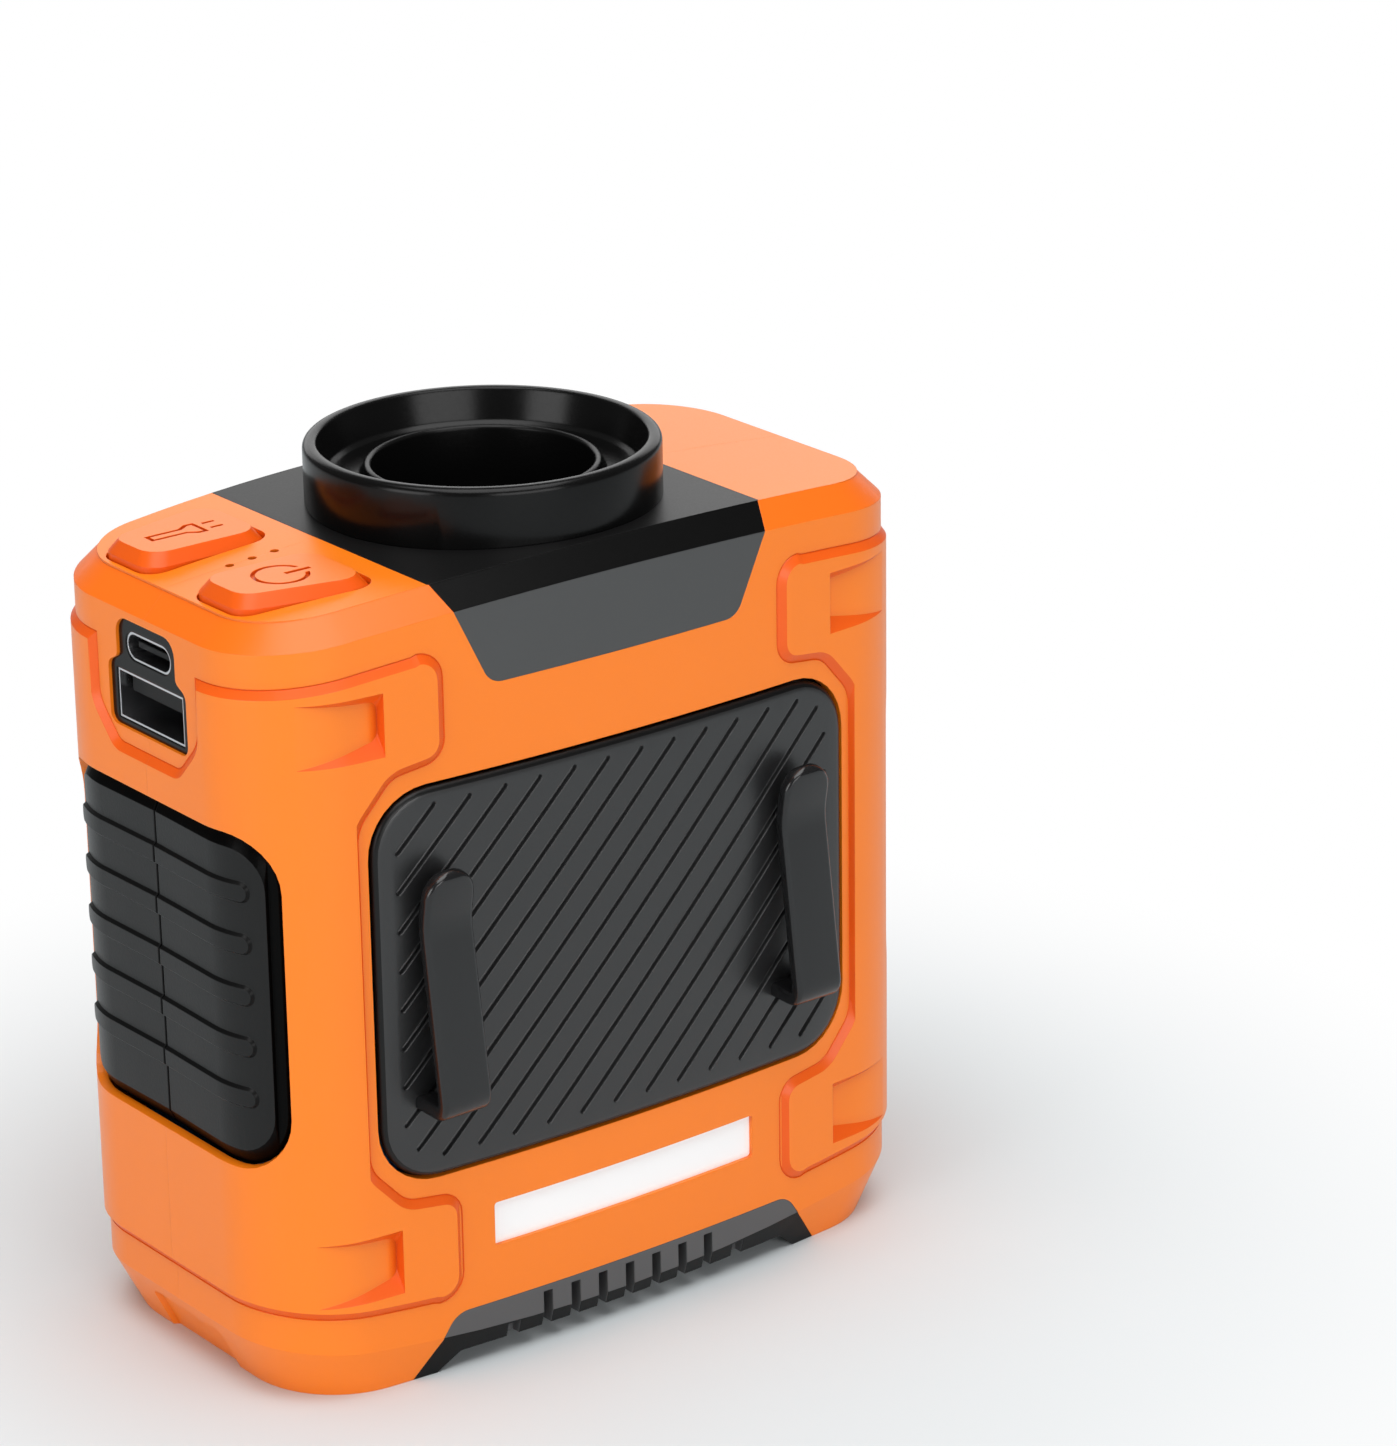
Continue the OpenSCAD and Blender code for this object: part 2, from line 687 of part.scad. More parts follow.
module impeller() {
    color(black)
        placed()
            difference() {
                union() {
                    rotate_extrude($fn = 48)
                        polygon([[0, fan_z - 2], [4, fan_z - 1.2], [7.6, fan_z + 1.2], [hub_r, fan_z + 4],
                            [hub_r, fan_z + 11], [0, fan_z + 11]]);
                    for (i = [0:blades - 1])
                        rotate([0, 0, i * 360 / blades])
                            intersection() {
                                translate([motor_r - 1, 0, fan_z + 5.5])
                                    rotate([-48, 0, 0])
                                        translate([0, -0.55, -7.5])
                                            cube([duct_r, 1.1, 15]);
                                translate([0, 0, fan_z + 1])
                                    cylinder(h = 9.5, r = duct_r - tip_gap, $fn = 72);
                            }
                }
                translate([0, 0, fan_z + 1])
                    cylinder(h = 20, r = shaft_r, $fn = 24);
            }
}

module base_grille() {
    n = (slot_n - 1) / 2;
    color(grey)
        placed()
            difference() {
                intersection() {
                    case_solid();
                    base_zone();
                }
                room(grille_floor_z);
                // Arch between the two feet
                front_prism(rounded([[-base_x + 2.9, -1, 0], [base_x - 2.9, -1, 0], [base_x - 3.1, 0, 0],
                    [base_x - 5.8, arch_z, 1], [-base_x + 5.8, arch_z, 1], [-base_x + 3.1, 0, 0]], 4));
                // Air slots up both faces and along the floor
                for (i = [-n:n], s = [-1, 1])
                    translate([i * slot_pitch - slot_w / 2, s > 0 ? 3 : -half_d - 1, -1])
                        cube([slot_w, half_d - 2, slot_z + 1]);
                for (s = [-1, 1], t = [-1, 1])
                    translate([s * (n + 1.2) * slot_pitch - 0.8, t > 0 ? half_d - 2 : -half_d - 1, -1])
                        cube([1.6, 3, foot_bevel_h + 1.2]);
            }
}

module clip_plate() {
    n = round(2 * plate_x / groove_pitch) - 4;
    color(grey)
        placed()
            difference() {
                intersection() {
                    band_solid(-plate_proud, plate_z0 - 4, plate_z1 + 4);
                    front_prism(plate_pts(0), -big / 2, 0);
                }
                band_solid(plate_seat, -1, big);
                // Slanted grooves, kept clear of the edge
                intersection() {
                    difference() {
                        translate([-half_w, -big, 0])
                            cube([case_w, big, big / 2]);
                        band_solid(groove_t - plate_proud, -1, big);
                    }
                    front_prism(rounded([
                        [-plate_x + 2.6, plate_z0 + 2.2, 5], [plate_x - 2.6, plate_z0 + 2.2, 5],
                        [plate_x - 2.6, plate_z1 - 1.6, 5], [-plate_x + 2.6, plate_z1 - 1.6, 5]], 5));
                    for (i = [-n:n + 1])
                        translate([i * groove_pitch + 1.45, 0, (plate_z0 + plate_z1) / 2])
                            rotate([0, -45, 0])
                                translate([-big / 4, -big / 4, -groove_w / 2])
                                    cube([big / 2, big / 4, groove_w]);
                }
                for (x = [clip_left_x, clip_right_x])
                    translate([x - clip_w / 2 - clip_fit, -half_d - 3, clip_z0 + 0.2 - clip_fit])
                        cube([clip_w + 2 * clip_fit, 8, clip_t + 2 * clip_fit]);
            }
}

// Side outline of a clip as [y, z], measured outward from the plate's surface
function clip_pts(t) = rounded([
    [-1.3, clip_z0 + 0.2, 0.3], [-0.3, clip_z0 + 0.2, 0], [0.35, clip_z0, 0],
    [clip_reach - 0.9, clip_z0, 0.9], [clip_reach, clip_z0 + 2, 2],
    [clip_reach - 2.9, clip_z1 - 6.6, 9], [clip_reach - 1.7, clip_z1 - 0.7, 0.7],
    [clip_reach - 2.4, clip_z1, 0.4], [clip_reach - 1.5 - 1.7 * t, clip_z1 - 0.9, 0.8],
    [clip_reach - 2.9 - t, clip_z1 - 6.5, 7], [clip_reach - 1.05 * t, clip_z0 + t + 1.6, 1.4],
    [clip_reach - t - 1.4, clip_z0 + t + 0.1, 0.8], [0.35, clip_z0 + t + 0.2, 0],
    [-1.3, clip_z0 + t + 0.2, 0.3]], 6);
module clip(x) {
    y0 = face_y(x, -plate_proud);
    intersection() {
        end_prism([for (p = clip_pts(clip_t)) [-y0 - p.x, p.y]], x - clip_w / 2, x + clip_w / 2);
        front_prism(rounded([[x - clip_w / 2, clip_z0 - 1, 0], [x + clip_w / 2, clip_z0 - 1, 0],
            [x + clip_w / 2, clip_z1 + 0.1, 2.6], [x - clip_w / 2, clip_z1 + 0.1, 2.6]], 6));
    }
}
module left_clip() {
    color(grey)
        placed()
            clip(clip_left_x);
}
module right_clip() {
    color(grey)
        placed()
            clip(clip_right_x);
}

module name_plate() {
    color([0.95, 0.95, 0.95])
        placed()
            difference() {
                intersection() {
                    band_solid(label_deep - label_t, label_z0 - 4, label_z1 + 4);
                    front_prism(label_pts, -big / 2, 0);
                }
                band_solid(label_deep, -1, big);
            }
}

// One button: bevelled cap over the case, stem down to its switch
module button(s) {
    scale([1, s, 1]) {
        translate([0, 0, stem_z - 1.6])
            linear_extrude(1.6)
                polygon(button_pts(0));
        hull() {
            translate([0, 0, stem_z - 0.01])
                linear_extrude(0.2)
                    polygon(button_pts(0));
            translate([0, 0, button_top_z - 0.1])
                linear_extrude(0.1)
                    polygon(button_pts(-0.9));
        }
        translate([button_x, button_y0 + 5.6, board_z + board_t + switch_h])
            cylinder(h = stem_z - board_z - board_t - switch_h, r = 1.5, $fn = 24);
    }
}
module torch_button() {
    color(orange)
        placed()
            difference() {
                button(1);
                translate([button_x, button_y0 + 5.6, button_top_z - 0.35])
                    linear_extrude(1)
                        torch_sign();
            }
}
module power_button() {
    color(orange)
        placed()
            difference() {
                button(-1);
                translate([button_x, -button_y0 - 5.6, button_top_z - 0.35])
                    linear_extrude(1)
                        power_sign();
            }
}
// Outline of a hand torch with two rays
module torch_sign() {
    difference() {
        polygon([[-4.4, -0.9], [0, -0.9], [1.2, -1.7], [2.4, -1.7],
            [2.4, 1.7], [1.2, 1.7], [0, 0.9], [-4.4, 0.9]]);
        polygon([[-3.9, -0.45], [0.2, -0.45], [1.4, -1.2], [1.95, -1.2],
            [1.95, 1.2], [1.4, 1.2], [0.2, 0.45], [-3.9, 0.45]]);
    }
    for (y = [-1.1, 0.7])
        translate([3.1, y])
            square([1.6, 0.45]);
}
// Broken circle with a bar through the gap
module power_sign() {
    difference() {
        circle(r = 3.2, $fn = 48);
        circle(r = 2.7, $fn = 48);
        translate([1, -1])
            square([4, 2]);
    }
    translate([0.6, -0.3])
        square([3.2, 0.6]);
}
module charge_lights() {
    color([0.25, 0.05, 0.02])
        placed()
            for (x = light_xs)
                translate([x, 0, board_z + board_t])
                    cylinder(h = case_h - crown(x) - 0.4 - board_z - board_t, r = light_r, $fn = 20);
}
module switch_board() {
    color(green)
        placed()
            translate([button_x - 3.3, -switch_board_y, board_z])
                cube([14.3, 2 * switch_board_y, board_t]);
}
module push_switches() {
    color(black)
        placed()
            for (s = [-1, 1])
                translate([button_x, s * (button_y0 + 5.6), board_z + board_t]) {
                    translate([-3, -3, 0])
                        cube([6, 6, switch_h - button_travel - 0.6]);
                    cylinder(h = switch_h - button_travel, r = 1.7, $fn = 24);
                }
}

socket_x = -half_w + bezel_deep + 0.1;
// Half sizes of the two socket mouths
a_mouth = [6.25, 2.56];
c_mouth = [4.17, 1.33];
skin = 0.3;
module c_outline(g) {
    hull()
        for (s = [-1, 1])
            translate([0, s * (c_mouth.x - c_mouth.y)])
                circle(r = c_mouth.y + g, $fn = 32);
}
module port_bezel() {
    color(black)
        placed()
            difference() {
                end_prism(bezel_pts, -half_w + bezel_deep, -half_w + wall + 0.6);
                translate([-half_w - 1, -a_mouth.x - skin, port_a_z - a_mouth.y - skin])
                    cube([10, 2 * (a_mouth.x + skin), 2 * (a_mouth.y + skin)]);
                translate([-half_w - 1, 0, port_c_z])
                    rotate([0, 90, 0])
                        linear_extrude(10)
                            c_outline(skin);
            }
}
module usb_a_socket() {
    color(metal)
        placed()
            difference() {
                translate([socket_x, -a_mouth.x - skin, port_a_z - a_mouth.y - skin])
                    cube([14, 2 * (a_mouth.x + skin), 2 * (a_mouth.y + skin)]);
                translate([socket_x - 1, -a_mouth.x, port_a_z - a_mouth.y])
                    cube([13, 2 * a_mouth.x, 2 * a_mouth.y]);
            }
}
module usb_a_tongue() {
    color(black)
        placed()
            translate([socket_x + 1.2, -a_mouth.x + 0.7, port_a_z + 0.1])
                cube([10.8, 2 * a_mouth.x - 1.4, 1.8]);
}
module usb_c_socket() {
    color(metal)
        placed()
            difference() {
                translate([socket_x, 0, port_c_z])
                    rotate([0, 90, 0])
                        linear_extrude(7.3)
                            c_outline(skin);
                translate([socket_x - 1, 0, port_c_z])
                    rotate([0, 90, 0])
                        linear_extrude(7.3)
                            c_outline(0);
            }
}
module usb_c_tongue() {
    color(black)
        placed()
            translate([socket_x + 0.8, -3.3, port_c_z - 0.35])
                cube([5.5, 6.6, 0.7]);
}
port_board_z = port_a_z - a_mouth.y - skin - board_t;
module port_board() {
    color(green)
        placed()
            translate([-half_w + wall + 4.2, -switch_board_y, port_board_z])
                cube([half_w - wall - 4.7 - boss_r - screw_at[1].x, 2 * switch_board_y, board_t]);
}
module usb_c_board() {
    color(green)
        placed()
            translate([-half_w + wall + 0.7, -5.6, port_c_z - c_mouth.y - skin - 0.8])
                cube([7, 11.2, 0.8]);
}

// Torch pieces turned about the X axis
module turned(pts, n = 40) {
    translate([half_w, 0, torch_z])
        rotate([0, 90, 0])
            rotate_extrude($fn = n)
                polygon(pts);
}
torch_in = torch_r - torch_t;
module torch_ring() {
    color(black)
        placed()
            turned([[torch_in, -torch_len], [torch_r, -torch_len], [torch_r, 0], [torch_ring_r, 0],
                [torch_ring_r, torch_out - 0.5], [torch_ring_r - 0.5, torch_out], [torch_in, torch_out]]);
}
module torch_lens() {
    color([0.9, 0.95, 1, 0.4])
        placed()
            turned(concat([[0, -0.4], [torch_in, -0.4], [torch_in, 0.5]],
                [for (i = [1:5]) [torch_in * (1 - i / 5), 0.5 + 0.6 * sin(90 * i / 5)]]));
}
module torch_reflector() {
    color(metal)
        placed()
            turned([[2, -torch_len + 2.4], [2.6, -torch_len + 2.4], [torch_in, -3.4], [torch_in, -0.4],
                [torch_in - 0.5, -0.4], [torch_in - 0.9, -3.2],
                [4, -3.4 - (torch_len - 5.8) * 3 / 5.2]]);
}
module torch_led() {
    color([0.95, 0.9, 0.5])
        placed() {
            turned([[0, -torch_len + 0.6], [torch_in, -torch_len + 0.6],
                [torch_in, -torch_len + 2], [0, -torch_len + 2]], 40);
            turned([[0, -torch_len + 2], [1.5, -torch_len + 2],
                [1.5, -torch_len + 2.8], [0, -torch_len + 3.6]], 24);
        }
}

grille_floor_z = arch_z + 2.2;
cell_z0 = grille_floor_z + 0.4;
cell_len = port_board_z - cell_gap_top - cell_z0;
holder_x = cell_r + 0.6;
holder_y = 2 * cell_r + 1;
module cells(s) {
    for (t = [-1, 1])
        translate([s * cell_x, t * cell_y, cell_z0])
            cylinder(h = cell_len, r = cell_r, $fn = 48);
}
module left_cells() {
    color([0.2, 0.45, 0.7])
        placed()
            cells(-1);
}
module right_cells() {
    color([0.2, 0.45, 0.7])
        placed()
            cells(1);
}
// Open cage round a pair of cells
module cell_holder(s) {
    difference() {
        intersection() {
            translate([s * cell_x - holder_x, -holder_y, floor_t])
                cube([2 * holder_x + 0.4, 2 * holder_y, cell_z0 + cell_len - 2]);
            band_solid(wall + 0.2, 0, big);
            room(floor_t);
        }
        for (t = [-1, 1])
            translate([s * cell_x, t * cell_y, cell_z0])
                cylinder(h = cell_len + 5, r = cell_r, $fn = 48);
        // Room for the raised floor of the base grille
        translate([s > 0 ? cell_x - 15 : -base_x - 0.2, -30, 0])
            cube([base_x + 0.2 - cell_x + 15, 60, grille_floor_z]);
        tab(s);
        // Windows along the middle of the cells
        for (z = [14, 40])
            translate([s * cell_x - 15, -big / 2, z])
                cube([30, big, 18]);
        for (p = screw_at)
            translate([p.x, 30, p.y])
                rotate([90, 0, 0])
                    cylinder(h = 60, r = boss_r + 0.3, $fn = 24);
    }
}
module left_cell_holder() {
    color(black)
        placed() {
            cell_holder(-1);
            // Post under the port board
            translate([-cell_x - cell_r + 1, -1.5, cell_len - 5])
                cube([2.2, 3, port_board_z - cell_len + 5]);
        }
}
module right_cell_holder() {
    color(black)
        placed()
            cell_holder(1);
}
// Strips that join the cells' lower ends
module tab(s) {
    translate([s * cell_x - 3.5, -cell_y - 4, cell_z0 - 0.4])
        cube([7, 2 * cell_y + 8, 0.4]);
}
module cell_tabs() {
    color(metal)
        placed()
            for (s = [-1, 1])
                tab(s);
}

// Cross-headed screws through the back shell
module case_screws() {
    color(metal)
        placed()
            for (p = screw_at)
                translate([p.x, screw_seat(p.x), p.y])
                    rotate([90, 0, 0])
                        difference() {
                            union() {
                                translate([0, 0, -1.4])
                                    cylinder(h = 1.4, r = screw_head_r, $fn = 24);
                                cylinder(h = 20, r = screw_r, $fn = 16);
                            }
                            for (a = [0, 90])
                                rotate([0, 0, a])
                                    translate([-1.3, -0.25, -2])
                                        cube([2.6, 0.5, 1.3]);
                        }
}

// Ribs across a grip, with round ends
module rib_zone() {
    mid = (grip_z0 + grip_z1) / 2;
    for (i = [0:rib_n - 1])
        end_prism(rounded([
            for (c = [[-1, -1], [1, -1], [1, 1], [-1, 1]])
                [c.x * (grip_y - 2.9), mid + 0.8 + (i - (rib_n - 1) / 2) * rib_pitch + c.y * rib_w / 2,
                    rib_w / 2 - 0.01]], 5),
            -half_w - 5, half_w + 5);
}
module grip(s, side) {
    intersection() {
        difference() {
            union() {
                intersection() {
                    band_solid(-grip_proud, grip_z0 - 4, grip_z1 + 4);
                    end_prism(grip_pts, -half_w - 5, half_w + 5);
                }
                intersection() {
                    band_solid(-grip_proud - rib_h, grip_z0 - 4, grip_z1 + 4);
                    rib_zone();
                }
            }
            band_solid(grip_seat, -1, big);
            // Fine seam down the middle of the end
            translate([-half_w - 5, -0.25, 0])
                cube([5.4, 0.5, 100]);
            translate([half_w - 0.4, -0.25, 0])
                cube([5.4, 0.5, 100]);
        }
        half_space(side);
        translate([s > 0 ? half_w - 8 : -half_w - 10, -50, 0])
            cube([18, 100, 100]);
    }
}
module left_front_grip() {
    color(black)
        placed()
            grip(-1, -1);
}
module left_rear_grip() {
    color(black)
        placed()
            grip(-1, 1);
}
module right_front_grip() {
    color(black)
        placed()
            grip(1, -1);
}
module right_rear_grip() {
    color(black)
        placed()
            grip(1, 1);
}

front_shell();
rear_shell();
top_saddle();
nozzle_collar();
fan_duct();
guide_vanes();
motor();
motor_shaft();
impeller();
base_grille();
clip_plate();
left_clip();
right_clip();
name_plate();
torch_button();
power_button();
charge_lights();
switch_board();
push_switches();
port_bezel();
usb_a_socket();
usb_a_tongue();
usb_c_socket();
usb_c_tongue();
port_board();
usb_c_board();
torch_ring();
torch_lens();
torch_reflector();
torch_led();
left_cells();
right_cells();
left_cell_holder();
right_cell_holder();
cell_tabs();
case_screws();
left_front_grip();
left_rear_grip();
right_front_grip();
right_rear_grip();
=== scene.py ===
import math
import bpy
import bmesh
import numpy as np
from mathutils import Matrix, Vector
from mathutils.geometry import delaunay_2d_cdt


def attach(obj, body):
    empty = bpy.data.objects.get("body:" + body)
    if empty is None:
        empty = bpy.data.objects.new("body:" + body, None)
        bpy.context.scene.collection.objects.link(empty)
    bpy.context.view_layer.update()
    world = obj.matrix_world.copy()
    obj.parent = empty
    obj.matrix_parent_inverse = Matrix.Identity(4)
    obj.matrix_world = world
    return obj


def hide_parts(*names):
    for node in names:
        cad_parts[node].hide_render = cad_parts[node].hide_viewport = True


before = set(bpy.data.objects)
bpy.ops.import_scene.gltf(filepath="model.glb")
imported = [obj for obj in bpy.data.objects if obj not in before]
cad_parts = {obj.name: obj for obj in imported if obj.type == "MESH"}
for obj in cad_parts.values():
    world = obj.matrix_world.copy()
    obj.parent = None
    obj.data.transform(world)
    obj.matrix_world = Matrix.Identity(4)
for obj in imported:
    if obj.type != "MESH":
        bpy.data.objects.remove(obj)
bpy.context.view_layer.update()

# --------------------------------------------------------------------------
# Orange case: two halves moulded in hard plastic that meet on the middle plane and are
# screwed together from the back. Corner armour stands proud with slanted edges, and each of
# its pads has a wedge pocket. Sizes are millimetres, and build() writes metres.
MM = 0.001
MID_Y = 2.301
W, D, H = 45.0, 24.3, 92.4
CORNER_R, BOW_R, CROWN = 12.0, 348.0, 2.3
TOP_BEVEL, BEVEL_SPAN = 2.7, 3.0
FOOT_END, FOOT_FACE, FOOT_H, FOOT_RISE = 3.3, 1.15, 3.7, 0.86
NOTCH_T, NOTCH_RUN = 0.6, 0.5
ARMOUR, ARMOUR_RUN = 0.6, 0.85
SEAM, SEAM_HALF = 0.14, 0.1
PAD_X, WAIST_X = 22.9, 33.9
ARMOUR_TOP, ARMOUR_LOW, ARMOUR_BOW = 86.0, 8.6, 2.6
POCKETS = [(75.0, 82.2), (12.0, 19.6)]
POCKET_T, POCKET_X0, POCKET_X1, POCKET_END = 1.4, 27.7, 30.5, 39.8
TORCH_Z, TORCH_R, TORCH_BAY_R = 79.0, 7.1, 8.9
SCREW_AT, SCREW_R = ((-22.6, 72.4), (22.6, 72.4), (-17.5, 12), (17.5, 12)), 2.45
SADDLE_X = 22.5
BUTTON_X, BUTTON_HALF, BUTTON_GAP = -33.6, 7.9, 0.2
LIGHT_XS, LIGHT_R = (-33.8, -30.9, -28.0), 0.5
# Painted shade on the case: faces that lean more than SLANT_FROM degrees off the outward direction take all
# of it, the top bevel BEVEL_SHADE of it.
SLANT_FROM, BEVEL_SHADE = 12.0, 0.55
CORNER_CUTS, CORNER_STEPS = 19, 8

# s runs along the front half of the footprint's edge, from the middle of the left end to the
# middle of the right one. S1 to S5 are the ends of its straight, round and bowed stretches.
BOW_Y = BOW_R - D
CORNER_X = W - CORNER_R
CORNER_Y = BOW_Y - math.sqrt((BOW_R - CORNER_R) ** 2 - CORNER_X ** 2)
BOW_A = math.asin(CORNER_X / (BOW_R - CORNER_R))
S1 = -CORNER_Y
S2 = S1 + CORNER_R * (math.pi / 2 - BOW_A)
S3 = S2 + 2 * BOW_R * BOW_A
S4 = S3 + CORNER_R * (math.pi / 2 - BOW_A)
S5 = S4 - CORNER_Y


def edge_at(s):
    """Point and outward direction of the footprint, front half, s along its edge."""
    s = np.asarray(s, float)
    p = np.zeros(s.shape + (2,))
    n = np.zeros_like(p)
    m = s < S1
    p[m] = np.stack([np.full(m.sum(), -W), -s[m]], -1)
    n[m] = (-1, 0)
    m = (s >= S1) & (s < S2)
    a = math.pi + (s[m] - S1) / CORNER_R
    n[m] = np.stack([np.cos(a), np.sin(a)], -1)
    p[m] = np.array([-CORNER_X, CORNER_Y]) + CORNER_R * n[m]
    m = (s >= S2) & (s < S3)
    a = (s[m] - S2) / BOW_R - BOW_A
    n[m] = np.stack([np.sin(a), -np.cos(a)], -1)
    p[m] = np.array([0, BOW_Y]) + BOW_R * n[m]
    m = (s >= S3) & (s < S4)
    a = 1.5 * math.pi + BOW_A + (s[m] - S3) / CORNER_R
    n[m] = np.stack([np.cos(a), np.sin(a)], -1)
    p[m] = np.array([CORNER_X, CORNER_Y]) + CORNER_R * n[m]
    m = s >= S4
    p[m] = np.stack([np.full(m.sum(), W), CORNER_Y + (s[m] - S4)], -1)
    n[m] = (1, 0)
    return p, n


def s_of_x(x):
    """Place along the edge of a point of the front face at x."""
    if abs(x) <= BOW_R * math.sin(BOW_A):
        return S2 + BOW_R * (BOW_A + math.asin(x / BOW_R))
    f = math.asin(min(1.0, (abs(x) - CORNER_X) / CORNER_R))
    s = S1 + CORNER_R * (math.pi / 2 - f)
    return s if x < 0 else S5 - s


def s_of_y(y):
    """Place along the edge of a point of the left end at distance y from the middle plane."""
    if y <= S1:
        return y
    return S1 + CORNER_R * math.asin(min(1.0, (y - S1) / CORNER_R))


def crown(x):
    return CROWN * (x / W) ** 2


def foot(x):
    return FOOT_H * (1 + FOOT_RISE * (x / W) ** 2)


def bevel_low(x):
    return H - TOP_BEVEL - crown(x)


def place(s, t, d):
    """Space point of (s, t) on the side, d out of the surface; t runs on over the top bevel."""
    p, n = edge_at(s)
    x = p[:, 0]
    f = np.clip(t / foot(x), 0, 1)[:, None]
    low = p * np.array([1 - FOOT_END / W, 1 - FOOT_FACE / D])
    g = np.clip((t - bevel_low(x)) / BEVEL_SPAN, 0, 1)
    q = low * (1 - f) + p * f + n * (d - TOP_BEVEL * g)[:, None]
    z = np.where(g > 0, bevel_low(x) + TOP_BEVEL * g, t)
    return np.column_stack([q, z])


def rounded(pts, n=6):
    """Closed outline with arcs at its corners; each point is (x, y, radius)."""
    out = []
    for i, (x, y, r) in enumerate(pts):
        a = np.array(pts[i - 1][:2], float)
        c = np.array(pts[(i + 1) % len(pts)][:2], float)
        b = np.array([x, y], float)
        if r == 0:
            out.append(b)
            continue
        u = (a - b) / np.linalg.norm(a - b)
        v = (c - b) / np.linalg.norm(c - b)
        h = math.acos(max(-1, min(1, float(u @ v)))) / 2
        m = b + (u + v) / np.linalg.norm(u + v) * r / math.sin(h)
        q = b + u * r / math.tan(h) - m
        turn = -1 if u[0] * v[1] - u[1] * v[0] > 0 else 1
        for k in range(n + 1):
            w = turn * (math.pi - 2 * h) * k / n
            out.append(m + np.array([q[0] * math.cos(w) - q[1] * math.sin(w),
                                     q[0] * math.sin(w) + q[1] * math.cos(w)]))
    return np.array(out)


def shifted(poly, dist):
    """The closed outline moved dist to its inside."""
    e = np.roll(poly, -1, 0) - poly
    e /= np.maximum(np.linalg.norm(e, axis=1), 1e-9)[:, None]
    ahead = np.roll(poly, -1, 0)
    area = np.sum(poly[:, 0] * ahead[:, 1] - poly[:, 1] * ahead[:, 0])
    side = 1 if area > 0 else -1
    nrm = np.column_stack([-e[:, 1], e[:, 0]]) * side
    prev = np.roll(nrm, 1, 0)
    m = nrm + prev
    m /= np.maximum(np.sum(m * nrm, 1), 0.3)[:, None]
    return poly + m * dist


def depth_in(poly, pts):
    """Distance of each point inside the closed outline, negative outside."""
    a, b = poly, np.roll(poly, -1, 0)
    d = b - a
    best = np.full(len(pts), 1e9)
    inside = np.zeros(len(pts), bool)
    for (ax, ay), (dx, dy) in zip(a, d):
        px, py = pts[:, 0] - ax, pts[:, 1] - ay
        k = np.clip((px * dx + py * dy) / max(dx * dx + dy * dy, 1e-12), 0, 1)
        best = np.minimum(best, np.hypot(px - k * dx, py - k * dy))
        if dy:
            x = px - dx * py / dy
            inside ^= ((py >= 0) != (py - dy >= 0)) & (x < 0)
    return np.where(inside, best, -best)


def circle(cx, cy, r, n=48):
    a = np.linspace(0, 2 * math.pi, n, endpoint=False)
    return np.column_stack([cx + r * np.cos(a), cy + r * np.sin(a)])


def both(poly):
    """An outline at the left end and its mirror at the right end."""
    return [poly, np.column_stack([S5 - poly[:, 0], poly[:, 1]])[::-1]]


def face_box(x0, x1, z0, z1, r, n=CORNER_STEPS):
    """Rounded rectangle on the front face."""
    box = rounded([(x0, z0, r), (x1, z0, r), (x1, z1, r), (x0, z1, r)], n)
    return np.array([(s_of_x(x), z) for x, z in box])


def armour_outline():
    """Outline of the left armour in (s, t): two pads with a waist between, run past the middle plane."""
    def top(x):
        return ARMOUR_TOP - ARMOUR_BOW * (x / W) ** 2

    def low(x):
        return ARMOUR_LOW + ARMOUR_BOW * (x / W) ** 2

    run = rounded([
        (60, top(PAD_X), 0), (PAD_X, top(PAD_X), 3), (PAD_X, 73.2, 2.6), (WAIST_X - 4.4, 72.3, 3.5),
        (WAIST_X, 67.2, 4.5), (WAIST_X, 27.4, 4.5), (WAIST_X - 4.4, 22.6, 3.5), (PAD_X - 0.3, 21.8, 2.6),
        (PAD_X - 0.3, low(PAD_X), 3), (60, low(PAD_X), 0)])[1:-1]
    run = [(S5 - s_of_x(x), z) for x, z in run]
    ends = np.linspace(0, S5 - s_of_x(26.5), 24)
    x = edge_at(ends)[0][:, 0]
    lo = list(zip(ends, low(x)))[::-1]
    up = list(zip(ends, top(x)))
    return np.array(run + lo + [(-8, lo[-1][1]), (-8, up[0][1])] + up)


# The armour opens in a bay round the ports at one end and the torch at the other.
ARMOURS = both(armour_outline())
BAYS = both(rounded([(-9.9, 95, 0), (-9.9, 76, 4), (-6, 71.9, 2), (6, 71.9, 2), (9.9, 76, 4), (9.9, 95, 0)]))
RING_BAY = circle(S5, TORCH_Z, TORCH_BAY_R)
NOTCHES = both(rounded([(-7.2, -2, 0), (7.2, -2, 0), (7.2, 5.2, 1), (-7.2, 5.2, 1)], 3))
GRIP_EDGE = s_of_y(19.3)
GRIP = both(rounded([(-30, 28.2, 0), (GRIP_EDGE, 28.2, 6.5), (GRIP_EDGE, 67.4, 6.5), (-30, 67.4, 0)], 8))
PORT = rounded([(-7.7, 73.82, 1.2), (7.7, 73.82, 1.2), (7.7, 80.82, 1.2), (5.8, 81.82, 0.8),
                (5.8, 86.52, 2), (-5.8, 86.52, 2), (-5.8, 81.82, 0.8), (-7.7, 80.82, 1.2)], 5)
TORCH = circle(S5, TORCH_Z, TORCH_R)
PLATE_HOLE = face_box(-32.65, 32.65, 24.45, 70.65, 7.35)
LABEL_HOLE = face_box(-18.25, 18.25, 14.05, 19.3, 0.4, 3)
SCREWS = [circle(s_of_x(x), z, SCREW_R, 24) for x, z in SCREW_AT]


def whole(half):
    """Points of the mirrored left half, then those of the right half backwards."""
    return [(-x, z, r) for x, z, r in half] + half[::-1]


